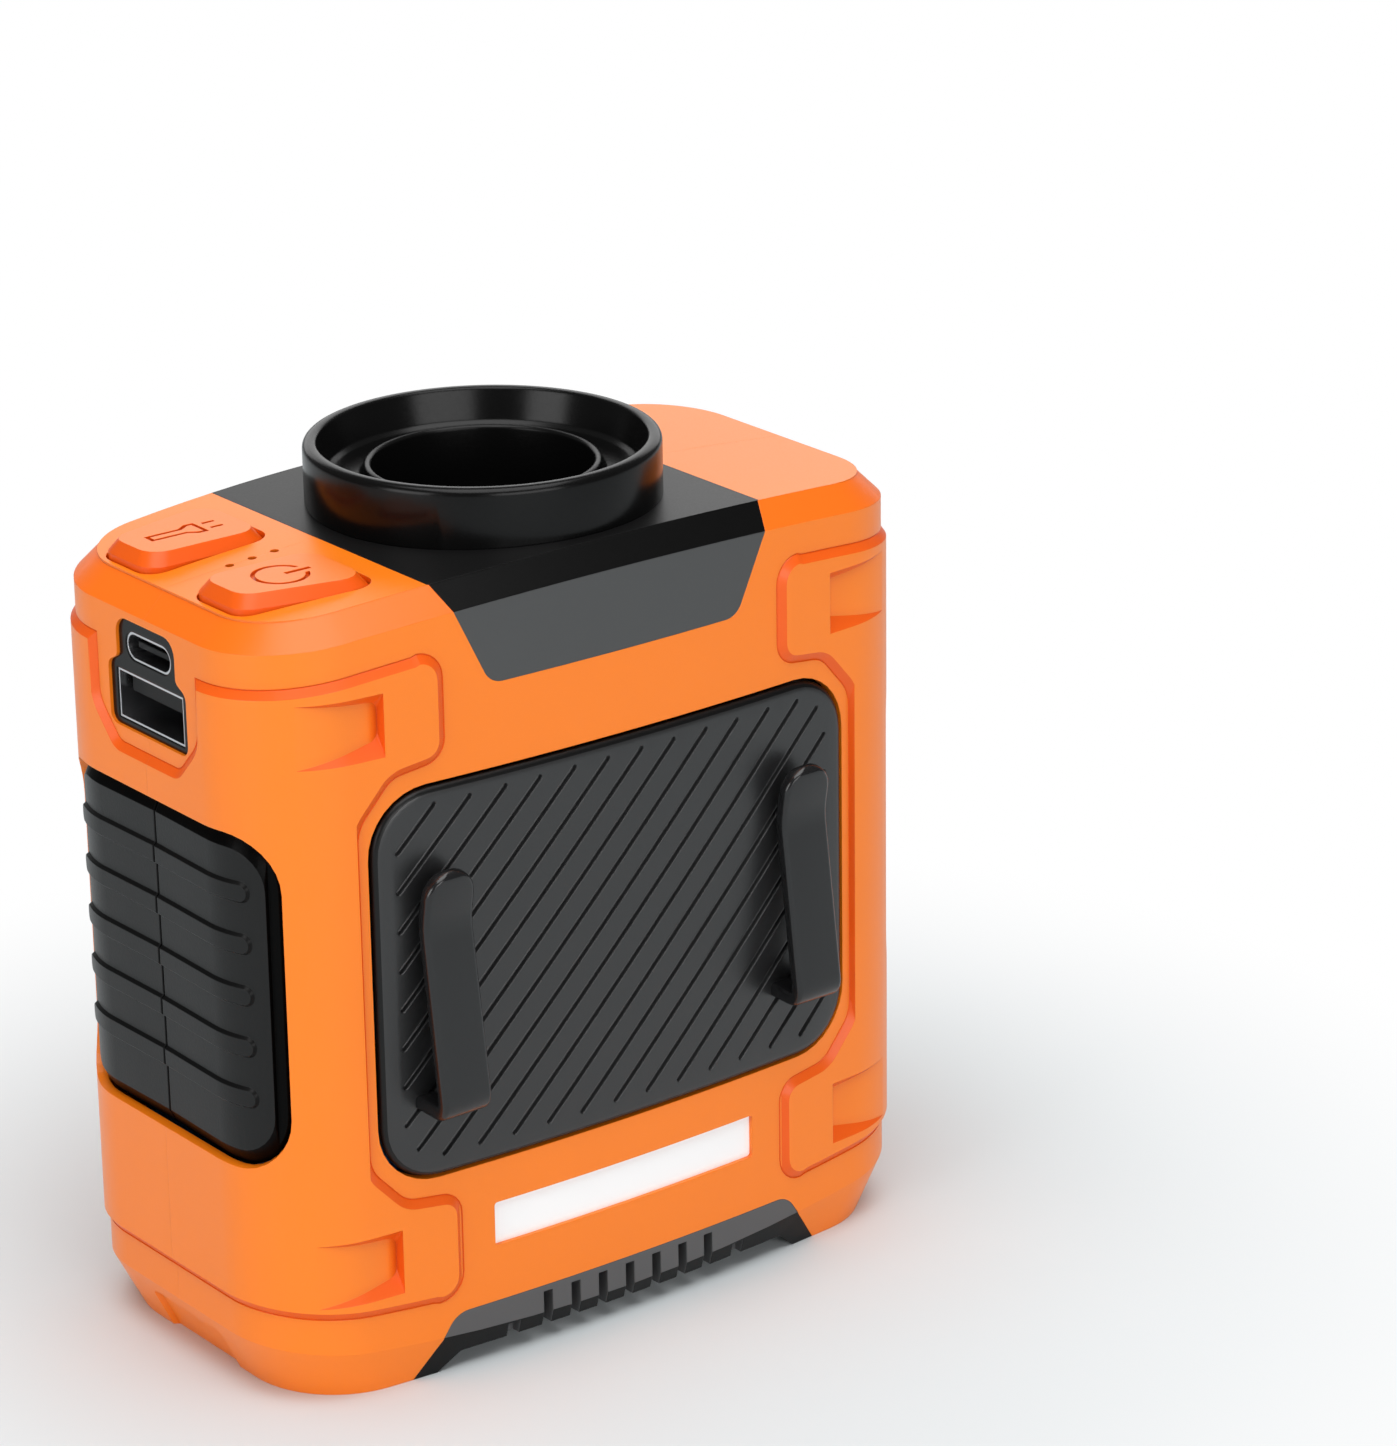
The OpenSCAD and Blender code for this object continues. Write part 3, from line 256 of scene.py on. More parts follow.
def saddle_outline():
    pts = whole([(16.8, 80.2, 2.5), (21.15, bevel_low(21.15), 0),
                 (SADDLE_X, bevel_low(SADDLE_X) + BEVEL_SPAN, 0), (SADDLE_X + 0.5, 97, 0)])
    return np.array([(s_of_x(x), z) for x, z in rounded(pts, CORNER_STEPS)])


def base_outline():
    """Opening for the base grille, widened so that it keeps its front view on the leaning foot."""
    pts = whole([(28.6, -2, 0), (28.6, 0, 0), (25.4, 4.4, 3), (23.6, 7.3, 3)])
    out = []
    for x, z in rounded(pts, CORNER_STEPS):
        at = x
        for _ in range(5):
            at = x / (1 - FOOT_END / W * (1 - min(1, max(0, z / foot(at)))))
        out.append((s_of_x(at), z))
    return np.array(out)


SADDLE = saddle_outline()
BASE = base_outline()


def pocket_outlines(z0, z1):
    """Mouth and floor of one wedge pocket, in (x, z) on the right."""
    a, b, e = POCKET_X0, POCKET_X1, POCKET_END
    return (rounded([(a, z0, 1.1), (e, z0, 0), (e, z1, 0), (a, z1, 1.1)], 5),
            rounded([(b, z0 + 1.7, 1.1), (e, z0 + 0.02, 0), (e, z1 - 0.02, 0), (b, z1 - 1.3, 1.1)], 5))


def armour_rise(q):
    """How far the case stands out at each (s, t): armour up, its seam, the pockets and foot notches in."""
    a = np.maximum(depth_in(ARMOURS[0], q), depth_in(ARMOURS[1], q))
    b = np.minimum(-depth_in(BAYS[0], q), -depth_in(BAYS[1], q))
    a = np.minimum(np.minimum(a, b), -depth_in(RING_BAY, q))
    d = ARMOUR * np.clip(a / ARMOUR_RUN, 0, 1) - SEAM * np.clip(1 - np.abs(a / SEAM_HALF + 1), 0, 1)
    x = np.abs(edge_at(np.clip(q[:, 0], 0, S5))[0][:, 0])
    for z0, z1 in POCKETS:
        mouth, bed = pocket_outlines(z0, z1)
        at = np.column_stack([x, q[:, 1]])
        a, b = np.clip(depth_in(mouth, at), 0, None), np.clip(-depth_in(bed, at), 0, None)
        fade = np.clip((POCKET_END - x) / (POCKET_END - POCKET_X1), 0, 1)
        d -= POCKET_T * fade * a / np.maximum(a + b, 1e-6)
    foot_notch = np.minimum(depth_in(NOTCHES[0], q), 1)
    foot_notch = np.maximum(foot_notch, depth_in(NOTCHES[1], q))
    d -= NOTCH_T * np.clip(foot_notch / NOTCH_RUN, 0, 1)
    return d


def mesh_cut(lines, keep, sharp_lines=()):
    """Triangles of a flat sheet cut along all lines; keep(points) says which stay."""
    pts, edges, sharp = [], [], []
    for group, mark in ((lines, False), (sharp_lines, True)):
        for line, closed in group:
            k = len(pts)
            pts += [Vector((float(x), float(y))) for x, y in line]
            m = len(line)
            for i in range(m if closed else m - 1):
                edges.append((k + i, k + (i + 1) % m))
                sharp.append(mark)
    v, e, f, _, eo, _ = delaunay_2d_cdt(pts, edges, [], 0, 1e-4)
    v = np.array([tuple(p) for p in v])
    f = np.array(f)
    f = f[keep(v[f].mean(1))]
    hard = {tuple(sorted(e[i])) for i in range(len(e))
            if any(sharp[j] for j in eo[i] if j < len(sharp))}
    return v, f, hard


def strips():
    """Places of the upright cuts, close together round the corners."""
    n = CORNER_CUTS
    return np.concatenate([[0, S1 / 2], np.linspace(S1, S2, n), np.linspace(S2, S3, n)[1:-1],
                           np.linspace(S3, S4, n), [S4 + S1 / 2, S5]])


def side_lines():
    """Cuts of the unrolled side, and the creases of its foot and top bevel."""
    s = strips()
    x = edge_at(s)[0][:, 0]
    top = bevel_low(x) + BEVEL_SPAN
    lines = [(np.array([[a, 0], [a, b]]), False) for a, b in zip(s, top)]
    lines.append((np.column_stack([s, 0 * s]), False))
    lines.append((np.column_stack([s, top]), False))
    return lines, [(np.column_stack([s, foot(x)]), False), (np.column_stack([s, bevel_low(x)]), False)]


def top_lines():
    """Cuts of the top inside its bevel, and its outline."""
    s = strips()
    p, n = edge_at(s)
    rim = p - n * TOP_BEVEL
    lines = [(rim, False), (np.array([rim[-1], rim[0]]), False)]
    for x in list(rim[1:-1, 0]) + [-SADDLE_X, SADDLE_X]:
        lines.append((np.array([[x, 0.0], [x, -60.0]]), False))
    return lines, np.vstack([rim, [[W, 0.5], [-W, 0.5]]])


def button_outline(g):
    """Outline of a button on the top, grown by g."""
    left, right = BUTTON_X - BUTTON_HALF - g, BUTTON_X + BUTTON_HALF + g
    return rounded([(left, -4 + g, 2.5), (right, -4 + g, 2.5), (right, -16.9 - g, 2.5),
                    (left, -13.6 - g, 2.5)], 6)


def slant_shade(pts, tris, q):
    """Share of painted shade on each triangle: whole on slanted steps, part on the top bevel."""
    a, b, c = (pts[tris[:, k]] for k in range(3))
    nrm = np.cross(b - a, c - a)
    nrm /= np.maximum(np.linalg.norm(nrm, axis=1), 1e-9)[:, None]
    s, t = q[tris].mean(1).T
    at, out = edge_at(s)
    leans = np.abs((nrm[:, :2] * out).sum(1)) < math.cos(math.radians(SLANT_FROM))
    shade_tone = leans & (t > foot(at[:, 0]) + 0.3)
    return np.where(t > bevel_low(at[:, 0]), BEVEL_SHADE, shade_tone)


def build(name, pieces, rear=False, lip=1.2, smooth=12):
    """One mesh object from (points, triangles, hard edges, painted shade shares) pieces, with a lip along
    open edges.
    """
    bm = bmesh.new()
    shade_share = bm.faces.layers.float.new("shade_share")
    for pts, tris, hard, shade_tones in pieces:
        pts = pts.copy()
        if rear:
            pts[:, 1] *= -1
        used = np.unique(tris)
        vs = {i: bm.verts.new((pts[i] + (0, MID_Y, 0)) * MM) for i in used}
        for (a, b, c), shade_tone in zip(tris, np.broadcast_to(shade_tones, len(tris))):
            order = (a, c, b) if rear else (a, b, c)
            try:
                bm.faces.new([vs[i] for i in order])[shade_share] = shade_tone
            except ValueError:
                continue  # the same triangle is there already
        for a, b in hard:
            if a in vs and b in vs:
                ed = bm.edges.get((vs[a], vs[b]))
                if ed:
                    ed.smooth = False
    bmesh.ops.remove_doubles(bm, verts=bm.verts, dist=0.004 * MM)
    bmesh.ops.dissolve_degenerate(bm, edges=bm.edges, dist=0.002 * MM)
    bm.normal_update()
    rim = [e for e in bm.edges if e.is_boundary]
    out = bmesh.ops.extrude_edge_only(bm, edges=rim)
    new = {g for g in out["geom"] if isinstance(g, bmesh.types.BMVert)}
    shift = {}
    for v in new:
        old = [e.other_vert(v) for e in v.link_edges if e.other_vert(v) not in new]
        n = Vector((0, 0, 0))
        for o in old:
            for f in o.link_faces:
                if not any(w in new for w in f.verts):
                    n += f.normal * f.calc_area()
        shift[v] = n.normalized() if n.length > 0 else Vector((0, 0, 0))
    for v, n in shift.items():
        v.co -= n * lip * MM
    for e in rim:
        if e.is_valid:
            e.smooth = False
    bm.normal_update()
    me = bpy.data.meshes.new(name)
    bm.to_mesh(me)
    bm.free()
    for p in me.polygons:
        p.use_smooth = True
    me.set_sharp_from_angle(angle=math.radians(smooth))
    ob = bpy.data.objects.new(name, me)
    bpy.context.scene.collection.objects.link(ob)
    return ob


def shell(rear):
    """One half of the case: its unrolled side and its top, each cut along every edge that shows."""
    holes = [GRIP[0], GRIP[1], PORT, TORCH, SADDLE, BASE] + (SCREWS if rear else [PLATE_HOLE, LABEL_HOLE])
    lines, hard = side_lines()
    for a in ARMOURS:
        hard += [(shifted(a, k), True) for k in (-2 * SEAM_HALF, -SEAM_HALF, 0, ARMOUR_RUN)]
    for b in BAYS:
        hard += [(shifted(b, k), True) for k in (2 * SEAM_HALF, SEAM_HALF, 0, -ARMOUR_RUN)]
    hard += [(circle(S5, TORCH_Z, TORCH_BAY_R + k), True)
             for k in (-2 * SEAM_HALF, -SEAM_HALF, 0, ARMOUR_RUN)]
    for notch in NOTCHES:
        hard += [(notch, True), (shifted(notch, NOTCH_RUN), True)]
    for z0, z1 in POCKETS:
        for mirrored in (False, True):
            for line in pocket_outlines(z0, z1):
                at = np.array([(s_of_x(x), z) for x, z in line])
                if mirrored:
                    at[:, 0] = S5 - at[:, 0]
                hard.append((at, True))
    lines += [(h, True) for h in holes]

    def keep(c):
        ok = (c[:, 0] > 0) & (c[:, 0] < S5) & (c[:, 1] > 0)
        x = edge_at(np.clip(c[:, 0], 0, S5))[0][:, 0]
        ok &= c[:, 1] < bevel_low(x) + BEVEL_SPAN
        for h in holes:
            ok &= depth_in(h, c) < 0
        return ok

    v, f, creases = mesh_cut(lines, keep, hard)
    q = np.column_stack([np.clip(v[:, 0], 0, S5), v[:, 1]])
    at = place(q[:, 0], q[:, 1], armour_rise(q))
    side = (at, f, creases, slant_shade(at, f, q))
    lines, outline = top_lines()
    cuts = [button_outline(BUTTON_GAP)] + [circle(x, 0, LIGHT_R, 16) for x in LIGHT_XS]
    lines += [(c, True) for c in cuts]

    def keep_top(c):
        ok = (depth_in(outline, c) > 0) & (c[:, 1] < 0) & (np.abs(c[:, 0]) > SADDLE_X)
        for h in cuts:
            ok &= depth_in(h, c) < 0
        return ok

    v, f, creases = mesh_cut(lines, keep_top)
    top = (np.column_stack([v, H - crown(v[:, 0])]), f, creases, 0)
    return build("rear_case_half" if rear else "front_case_half", [side, top], rear)


def grain_group():
    """Fine moulded grain as a height: speckle over slow waviness."""
    g = bpy.data.node_groups.new("moulded_grain", "ShaderNodeTree")
    g.interface.new_socket("Scale", in_out="INPUT", socket_type="NodeSocketFloat").default_value = 4500
    g.interface.new_socket("Height", in_out="OUTPUT", socket_type="NodeSocketFloat")
    g.interface.new_socket("Mottle", in_out="OUTPUT", socket_type="NodeSocketFloat")
    gi, go = g.nodes.new("NodeGroupInput"), g.nodes.new("NodeGroupOutput")
    co = g.nodes.new("ShaderNodeTexCoord")
    n1 = g.nodes.new("ShaderNodeTexNoise")
    n1.inputs["Detail"].default_value = 2
    n2 = g.nodes.new("ShaderNodeTexNoise")
    n2.inputs["Scale"].default_value = 60
    n2.inputs["Detail"].default_value = 3
    g.links.new(co.outputs["Object"], n1.inputs["Vector"])
    g.links.new(co.outputs["Object"], n2.inputs["Vector"])
    g.links.new(gi.outputs["Scale"], n1.inputs["Scale"])
    g.links.new(n1.outputs["Fac"], go.inputs["Height"])
    g.links.new(n2.outputs["Fac"], go.inputs["Mottle"])
    return g


GRAIN = grain_group()


def shade_share_mask(tree):
    """Painted shade where the mesh's shade_share attribute says so."""
    at = tree.nodes.new("ShaderNodeAttribute")
    at.attribute_name = "shade_share"
    return at.outputs["Fac"]


def plastic(name, color, rough=0.42, grain=0.25, scale=4500, spread=0.04, round_mm=0.22, metallic=0.0,
            spec=0.5, crease_shade=None, painted_shade=None):
    """Moulded plastic: faint mottle, grain bump and softly broken edges, with painted shade in its
    creases and a darker, duller painted shade where a mask says so."""
    mat = bpy.data.materials.new(name)
    mat.use_nodes = True
    tree = mat.node_tree
    shader = tree.nodes["Principled BSDF"]
    shader.inputs["Metallic"].default_value = metallic
    shader.inputs["Specular IOR Level"].default_value = spec
    speckle = tree.nodes.new("ShaderNodeGroup")
    speckle.node_tree = GRAIN
    speckle.inputs["Scale"].default_value = scale
    mix = tree.nodes.new("ShaderNodeMix")
    mix.data_type = "RGBA"
    mix.inputs["A"].default_value = tuple(c * (1 - spread) for c in color) + (1,)
    mix.inputs["B"].default_value = tuple(min(1, c * (1 + spread)) for c in color) + (1,)
    tree.links.new(speckle.outputs["Mottle"], mix.inputs["Factor"])
    tint = mix.outputs["Result"]
    # Painted shade: the colour darkens where ambient occlusion finds close surfaces.
    if crease_shade:
        hollow = tree.nodes.new("ShaderNodeAmbientOcclusion")
        hollow.samples = 6
        hollow.only_local = True
        hollow.inputs["Distance"].default_value = 1.4 * MM
        lit = tree.nodes.new("ShaderNodeMapRange")
        lit.inputs["From Min"].default_value = 0.45
        lit.inputs["From Max"].default_value = 0.97
        tree.links.new(hollow.outputs["AO"], lit.inputs["Value"])
        dark = tree.nodes.new("ShaderNodeMix")
        dark.data_type = "RGBA"
        dark.inputs["A"].default_value = tuple(crease_shade) + (1,)
        tree.links.new(lit.outputs["Result"], dark.inputs["Factor"])
        tree.links.new(tint, dark.inputs["B"])
        tint = dark.outputs["Result"]
    # Painted shade: where the mask is on, a darker colour and a lower specular level are mixed in.
    if painted_shade:
        mask, shade, dull = painted_shade
        on = mask(tree)
        dark = tree.nodes.new("ShaderNodeMix")
        dark.data_type = "RGBA"
        dark.inputs["B"].default_value = tuple(shade) + (1,)
        tree.links.new(on, dark.inputs["Factor"])
        tree.links.new(tint, dark.inputs["A"])
        tint = dark.outputs["Result"]
        sheen = tree.nodes.new("ShaderNodeMapRange")
        sheen.inputs["To Min"].default_value = spec
        sheen.inputs["To Max"].default_value = dull
        tree.links.new(on, sheen.inputs["Value"])
        tree.links.new(sheen.outputs["Result"], shader.inputs["Specular IOR Level"])
    tree.links.new(tint, shader.inputs["Base Color"])
    matt = tree.nodes.new("ShaderNodeMapRange")
    matt.inputs["To Min"].default_value = rough - 0.05
    matt.inputs["To Max"].default_value = rough + 0.05
    tree.links.new(speckle.outputs["Height"], matt.inputs["Value"])
    tree.links.new(matt.outputs["Result"], shader.inputs["Roughness"])
    bump = tree.nodes.new("ShaderNodeBump")
    bump.inputs["Strength"].default_value = grain
    bump.inputs["Distance"].default_value = 0.00003
    tree.links.new(speckle.outputs["Height"], bump.inputs["Height"])
    if round_mm:
        edges = tree.nodes.new("ShaderNodeBevel")
        edges.samples = 6
        edges.inputs["Radius"].default_value = round_mm * MM
        tree.links.new(edges.outputs["Normal"], bump.inputs["Normal"])
    tree.links.new(bump.outputs["Normal"], shader.inputs["Normal"])
    return mat


front_case = shell(False)
rear_case = shell(True)
# Painted shade: slanted steps and the top bevel take a darker orange with less shine, and creases darken by
# an ambient-occlusion mix.
ORANGE = plastic("orange_moulding", (0.97, 0.215, 0.005), rough=0.34, grain=0.2, spread=0.02, round_mm=0.12,
                 crease_shade=(0.6, 0.06, 0.002), painted_shade=(shade_share_mask, (0.84, 0.11, 0.005), 0.35))
for ob, node in ((front_case, "front_shell"), (rear_case, "rear_shell")):
    ob.data.materials.append(ORANGE)
    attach(ob, "case")
    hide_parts(node)

# --------------------------------------------------------------------------
# Saddle: one grey plastic moulding that fills the gap in the case's top and hangs down both
# faces as an apron. The outlet collar sits on it.
COLLAR_HOLE_R, TOP_SHADE = 13.3, 0.85
# Painted shade: the saddle's bevel and top take a near-black colour with little shine, in place of dark
# reflections and the collar's shadow.
GREY = plastic("grey_moulding", (0.024, 0.024, 0.0245), rough=0.36, grain=0.25, spread=0.08, spec=1.0,
               painted_shade=(shade_share_mask, (0.003, 0.003, 0.003), 0.1))


def saddle_half():
    """Front half: the apron with its bevel, and the top; the bevel takes full painted shade and the top most
    of it.
    """
    lines, hard = side_lines()
    lines += [(SADDLE, True)]

    def keep(c):
        x = edge_at(np.clip(c[:, 0], 0, S5))[0][:, 0]
        return (depth_in(SADDLE, c) > 0) & (c[:, 1] < bevel_low(x) + BEVEL_SPAN)

    v, f, e = mesh_cut(lines, keep, hard)
    s, t = v[f].mean(1).T
    shade_tone = np.where(t > bevel_low(edge_at(s)[0][:, 0]), 1.0, 0.0)
    side = (place(np.clip(v[:, 0], 0, S5), v[:, 1], np.zeros(len(v))), f, e, shade_tone)
    lines, outline = top_lines()
    hole = circle(0, 0, COLLAR_HOLE_R, 48)
    lines += [(hole, True)]

    def keep_top(c):
        inside = (depth_in(outline, c) > 0) & (depth_in(hole, c) < 0)
        return inside & (c[:, 1] < 0) & (np.abs(c[:, 0]) < SADDLE_X)

    v, f, e = mesh_cut(lines, keep_top)
    return side, (np.column_stack([v, H - crown(v[:, 0])]), f, e, TOP_SHADE)


def saddle():
    half = saddle_half()
    pieces = list(half)
    for pts, tris, hard, shade_tones in half:
        pieces.append((pts * np.array([1, -1, 1]), tris[:, ::-1], hard, shade_tones))
    ob = build("saddle_cover", pieces, lip=1.0)
    ob.data.materials.append(GREY)
    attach(ob, "case")
    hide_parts("top_saddle")


saddle()

# --------------------------------------------------------------------------
# Ribbed plate: a moulded plate of dark grey plastic in a seat in the clip face, its edge
# rolled over. Slanted grooves with round ends and round floors stop short of the edge.
PLATE_X, PLATE_LOW, PLATE_HIGH, PLATE_R = 32.3, 24.8, 70.3, 7
PLATE = face_box(-PLATE_X, PLATE_X, PLATE_LOW, PLATE_HIGH, PLATE_R)
PLATE_PROUD, ROLL, ROLL_T = 0.5, 1.1, 0.8
SLOT_PITCH, SLOT_HALF, SLOT_T, SLOT_MID = 4.55, 0.34, 0.6, (PLATE_LOW + PLATE_HIGH) / 2
SLOTS_EACH_WAY, SLOT_INSET, STUB = 11, 0.45, 1.55
SLOT_ZONE = rounded([(-29.8, 26.9, 5), (29.8, 26.9, 5), (29.8, 68.8, 5), (-29.8, 68.8, 5)], 6)
# Painted shade: the rolled edge takes a near-black colour with less shine.
PLATE_GREY = plastic("plate_moulding", (0.012, 0.012, 0.0125), rough=0.34, grain=0.3, spread=0.08, spec=0.65,
                     painted_shade=(shade_share_mask, (0.002, 0.002, 0.002), 0.3))


def capsule(x0, z0, x1, z1, r, n=5):
    """Round-ended slot on the front face."""
    a = math.atan2(z1 - z0, x1 - x0)
    t = np.linspace(math.pi / 2, 1.5 * math.pi, n + 1) + a
    u = np.linspace(-math.pi / 2, math.pi / 2, n + 1) + a
    pts = [(x0 + r * math.cos(k), z0 + r * math.sin(k)) for k in t]
    pts += [(x1 + r * math.cos(k), z1 + r * math.sin(k)) for k in u]
    return np.array([(s_of_x(x), z) for x, z in pts])


def plate():
    """The plate with one slot for each 45-degree line that runs far enough through the slot zone."""
    runs = []
    x = np.linspace(-34, 34, 681)
    for i in range(-SLOTS_EACH_WAY, SLOTS_EACH_WAY + 1):
        z = x + (SLOT_MID - SLOT_PITCH * i)
        ok = depth_in(SLOT_ZONE, np.column_stack([x, z])) > SLOT_INSET
        if ok.any() and x[ok][-1] - x[ok][0] > STUB:
            runs.append((x[ok][0], z[ok][0], x[ok][-1], z[ok][-1]))
    lines = side_lines()[0]
    lines.append((PLATE, True))
    for t in (0.1, 0.3, 0.6, ROLL):
        lines.append((shifted(PLATE, t), True))
    slots = [capsule(*r, SLOT_HALF) for r in runs]
    for r in runs:
        for w in (0.46, SLOT_HALF, 0.24, 0.1):
            lines.append((capsule(*r, w), True))

    def keep(c):
        return depth_in(PLATE, c) > 0

    v, f, e = mesh_cut(lines, keep)
    a = np.clip(depth_in(PLATE, v), 0, ROLL) / ROLL
    d = PLATE_PROUD - ROLL_T * (1 - np.sqrt(np.clip(1 - (1 - a) ** 2, 0, 1)))
    for slot in slots:
        k = np.clip(depth_in(slot, v) / SLOT_HALF, 0, 1)
        d -= SLOT_T * np.sqrt(np.clip(1 - (1 - k) ** 2, 0, 1))
    # Painted shade on the rolled edge, within 0.6 mm of the plate's outline.
    edge = depth_in(PLATE, v[f].mean(1)) < 0.6
    ob = build("ribbed_plate", [(place(v[:, 0], v[:, 1], d), f, e, edge)], lip=1.2, smooth=50)
    ob.data.materials.append(PLATE_GREY)
    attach(ob, "case")
    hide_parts("clip_plate")


plate()

# --------------------------------------------------------------------------
# Rubber grips: one soft black pad per case half at each end, seated in the case's window.
# Its edge slopes down into the window, and flat ribs with round ends stop short of it.
RIBS, RIB_PITCH, RIB_MID = 5, 6.0, 48.6
RIB_HALF, RIB_TOP, RIB_T, RIB_FLANK_SHADE = 1.25, 0.95, 0.36, 0.55
RIB_END = s_of_y(16.4) - RIB_HALF
GRIP_SLOPE = ((0, 0.6, 1.9), (-1.05, -0.55, 0.1))
PAD_SEAM, PAD_SEAM_T, PAD_HOLLOW = (0.08, 0.2), 0.4, 0.22
# Painted shade: the sloping edge and the rib flanks take a near-black colour with less shine.
RUBBER = plastic("black_rubber", (0.006, 0.006, 0.006), rough=0.36, grain=0.35, scale=3500, spread=0.1,
                 round_mm=0.15, spec=0.25, painted_shade=(shade_share_mask, (0.001, 0.001, 0.001), 0.06))


def grip(side, rear, name, node):
    """One pad; its edge and the flanks of its ribs take painted shade."""
    window = GRIP[side]
    lines, hard = side_lines()
    lines.append((window, True))
    hard += [(shifted(window, t), True) for t in GRIP_SLOPE[0][1:]]
    for t in PAD_SEAM:
        s = t if side == 0 else S5 - t
        lines.append((np.array([[s, 20], [s, 75]]), False))
    ribs = []
    for i in range(RIBS):
        z = RIB_MID + (i - (RIBS - 1) / 2) * RIB_PITCH
        for w in (RIB_HALF, RIB_TOP):
            x, r = RIB_END + w, w - 0.01
            rib = both(rounded([(-6, z - w, 0), (x, z - w, r), (x, z + w, r), (-6, z + w, 0)], 7))[side]
            hard.append((rib, True))
            if w == RIB_HALF:
                ribs.append(rib)

    def keep(c):
        return (depth_in(window, c) > 0) & (c[:, 0] > 0) & (c[:, 0] < S5)

    v, f, e = mesh_cut(lines, keep, hard)
    q = np.column_stack([np.clip(v[:, 0], 0, S5), v[:, 1]])
    a = depth_in(window, q)
    d = np.interp(a, *GRIP_SLOPE)
    for r in ribs:
        d += RIB_T * np.clip(depth_in(r, q) / (RIB_HALF - RIB_TOP), 0, 1)
    m = q[:, 0] if side == 0 else S5 - q[:, 0]
    gap = 1 - np.clip((m - PAD_SEAM[0]) / (PAD_SEAM[1] - PAD_SEAM[0]), 0, 1)
    d -= PAD_HOLLOW * np.clip(1 - m / S1, 0, 1) + PAD_SEAM_T * gap
    at = q[f].mean(1)
    shade_tone = np.interp(depth_in(window, at), (1.85, 1.95), (1, 0))
    for r in ribs:
        k = depth_in(r, at)
        shade_tone = np.where((k > 0) & (k < RIB_HALF - RIB_TOP), RIB_FLANK_SHADE, shade_tone)
    ob = build(name, [(place(q[:, 0], q[:, 1], d), f, e, shade_tone)], rear, lip=1.0, smooth=20)
    ob.data.materials.append(RUBBER)
    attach(ob, "case")
    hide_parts(node)


grip(0, False, "left_front_grip_pad", "left_front_grip")
grip(0, True, "left_rear_grip_pad", "left_rear_grip")
grip(1, False, "right_front_grip_pad", "right_front_grip")
grip(1, True, "right_rear_grip_pad", "right_rear_grip")

# --------------------------------------------------------------------------
# Clips: two springy strips of black plastic, each rooted in a slot low in the ribbed plate.
# A strip turns up, leans back towards the plate and ends in a round head that flares out.
CLIP_Z0, CLIP_Z1, CLIP_REACH, CLIP_T, CLIP_W = 33.2, 62, 5.6, 1.7, 6.4
CLIP_EDGE, CLIP_SIDES, CLIP_STEP = 0.6, 24, 0.5
CLIP = plastic("clip_moulding", (0.008, 0.008, 0.0085), rough=0.22, grain=0.12, spread=0.05, round_mm=0,
               spec=0.5)


def clip_strip(name, node, body, x0):
    """The strip swept up from its foot in the plate, its head rounded off."""
    face = math.sqrt((BOW_R + PLATE_PROUD) ** 2 - x0 * x0) - BOW_Y
    h = CLIP_T / 2
    line = rounded([(-1.2, CLIP_Z0 + h + 0.2, 0), (CLIP_REACH - h, CLIP_Z0 + h + 0.1, 1.3),
                    (CLIP_REACH - 2.9 - h, CLIP_Z1 - 6.6, 9), (CLIP_REACH - 1.75 - h, CLIP_Z1 - 0.25, 0)], 12)
    gap = np.hypot(*np.diff(line, axis=0).T)
    along = np.concatenate([[0], np.cumsum(gap)])
    full, r = along[-1], CLIP_W / 2
    turn = np.linspace(0, math.pi / 2, 12)
    at = np.concatenate([np.arange(0, full - r, CLIP_STEP), full - r + r * np.sin(turn)])
    pos = np.column_stack([np.interp(at, along, line[:, 0]), np.interp(at, along, line[:, 1])])
    go = np.gradient(pos, at, axis=0)
    go /= np.linalg.norm(go, axis=1)[:, None]
    e = np.clip((at - (full - r)) / r, 0, 1)
    wide = np.maximum(r * np.sqrt(1 - e * e), 0.02)
    thick = np.maximum(h * np.clip((full - at) / CLIP_EDGE, 0, 1) ** 0.5, 0.02)
    bm = bmesh.new()
    rings = []
    for (u, z), (du, dz), w, t in zip(pos, go, wide, thick):
        c = min(CLIP_EDGE, w * 0.95, t * 0.95)
        ring = []
        for k in range(CLIP_SIDES):
            a = 2 * math.pi * (k + 0.5) / CLIP_SIDES
            corner = round((k + 0.5) * 4 / CLIP_SIDES - 0.5) * math.pi / 2 + math.pi / 4
            b = corner + (a - corner) * 1.2
            across = math.copysign(w - c, math.cos(a)) + c * math.cos(b)
            out = math.copysign(t - c, math.sin(a)) + c * math.sin(b)
            ring.append(bm.verts.new(
                ((x0 + across) * MM, (MID_Y - face - u - out * dz) * MM, (z - out * du) * MM)))
        rings.append(ring)
    for low, high in zip(rings, rings[1:]):
        for k in range(CLIP_SIDES):
            n = (k + 1) % CLIP_SIDES
            bm.faces.new((low[k], low[n], high[n], high[k]))
    bm.faces.new(rings[0][::-1])
    bm.faces.new(rings[-1])
    bmesh.ops.recalc_face_normals(bm, faces=bm.faces)
    me = bpy.data.meshes.new(name)
    bm.to_mesh(me)
    bm.free()
    for p in me.polygons:
        p.use_smooth = True
    me.set_sharp_from_angle(angle=math.radians(50))
    ob = bpy.data.objects.new(name, me)
    bpy.context.scene.collection.objects.link(ob)
    ob.data.materials.append(CLIP)
    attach(ob, body)
    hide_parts(node)


clip_strip("left_clip_strip", "left_clip", "clip_a", -25.0)
clip_strip("right_clip_strip", "right_clip", "clip_b", 24.1)

# --------------------------------------------------------------------------
# Outlet collar: a ring of gloss black plastic with a rolled rim and a raised throat inside.
# Its foot follows the crowned saddle round the hole.


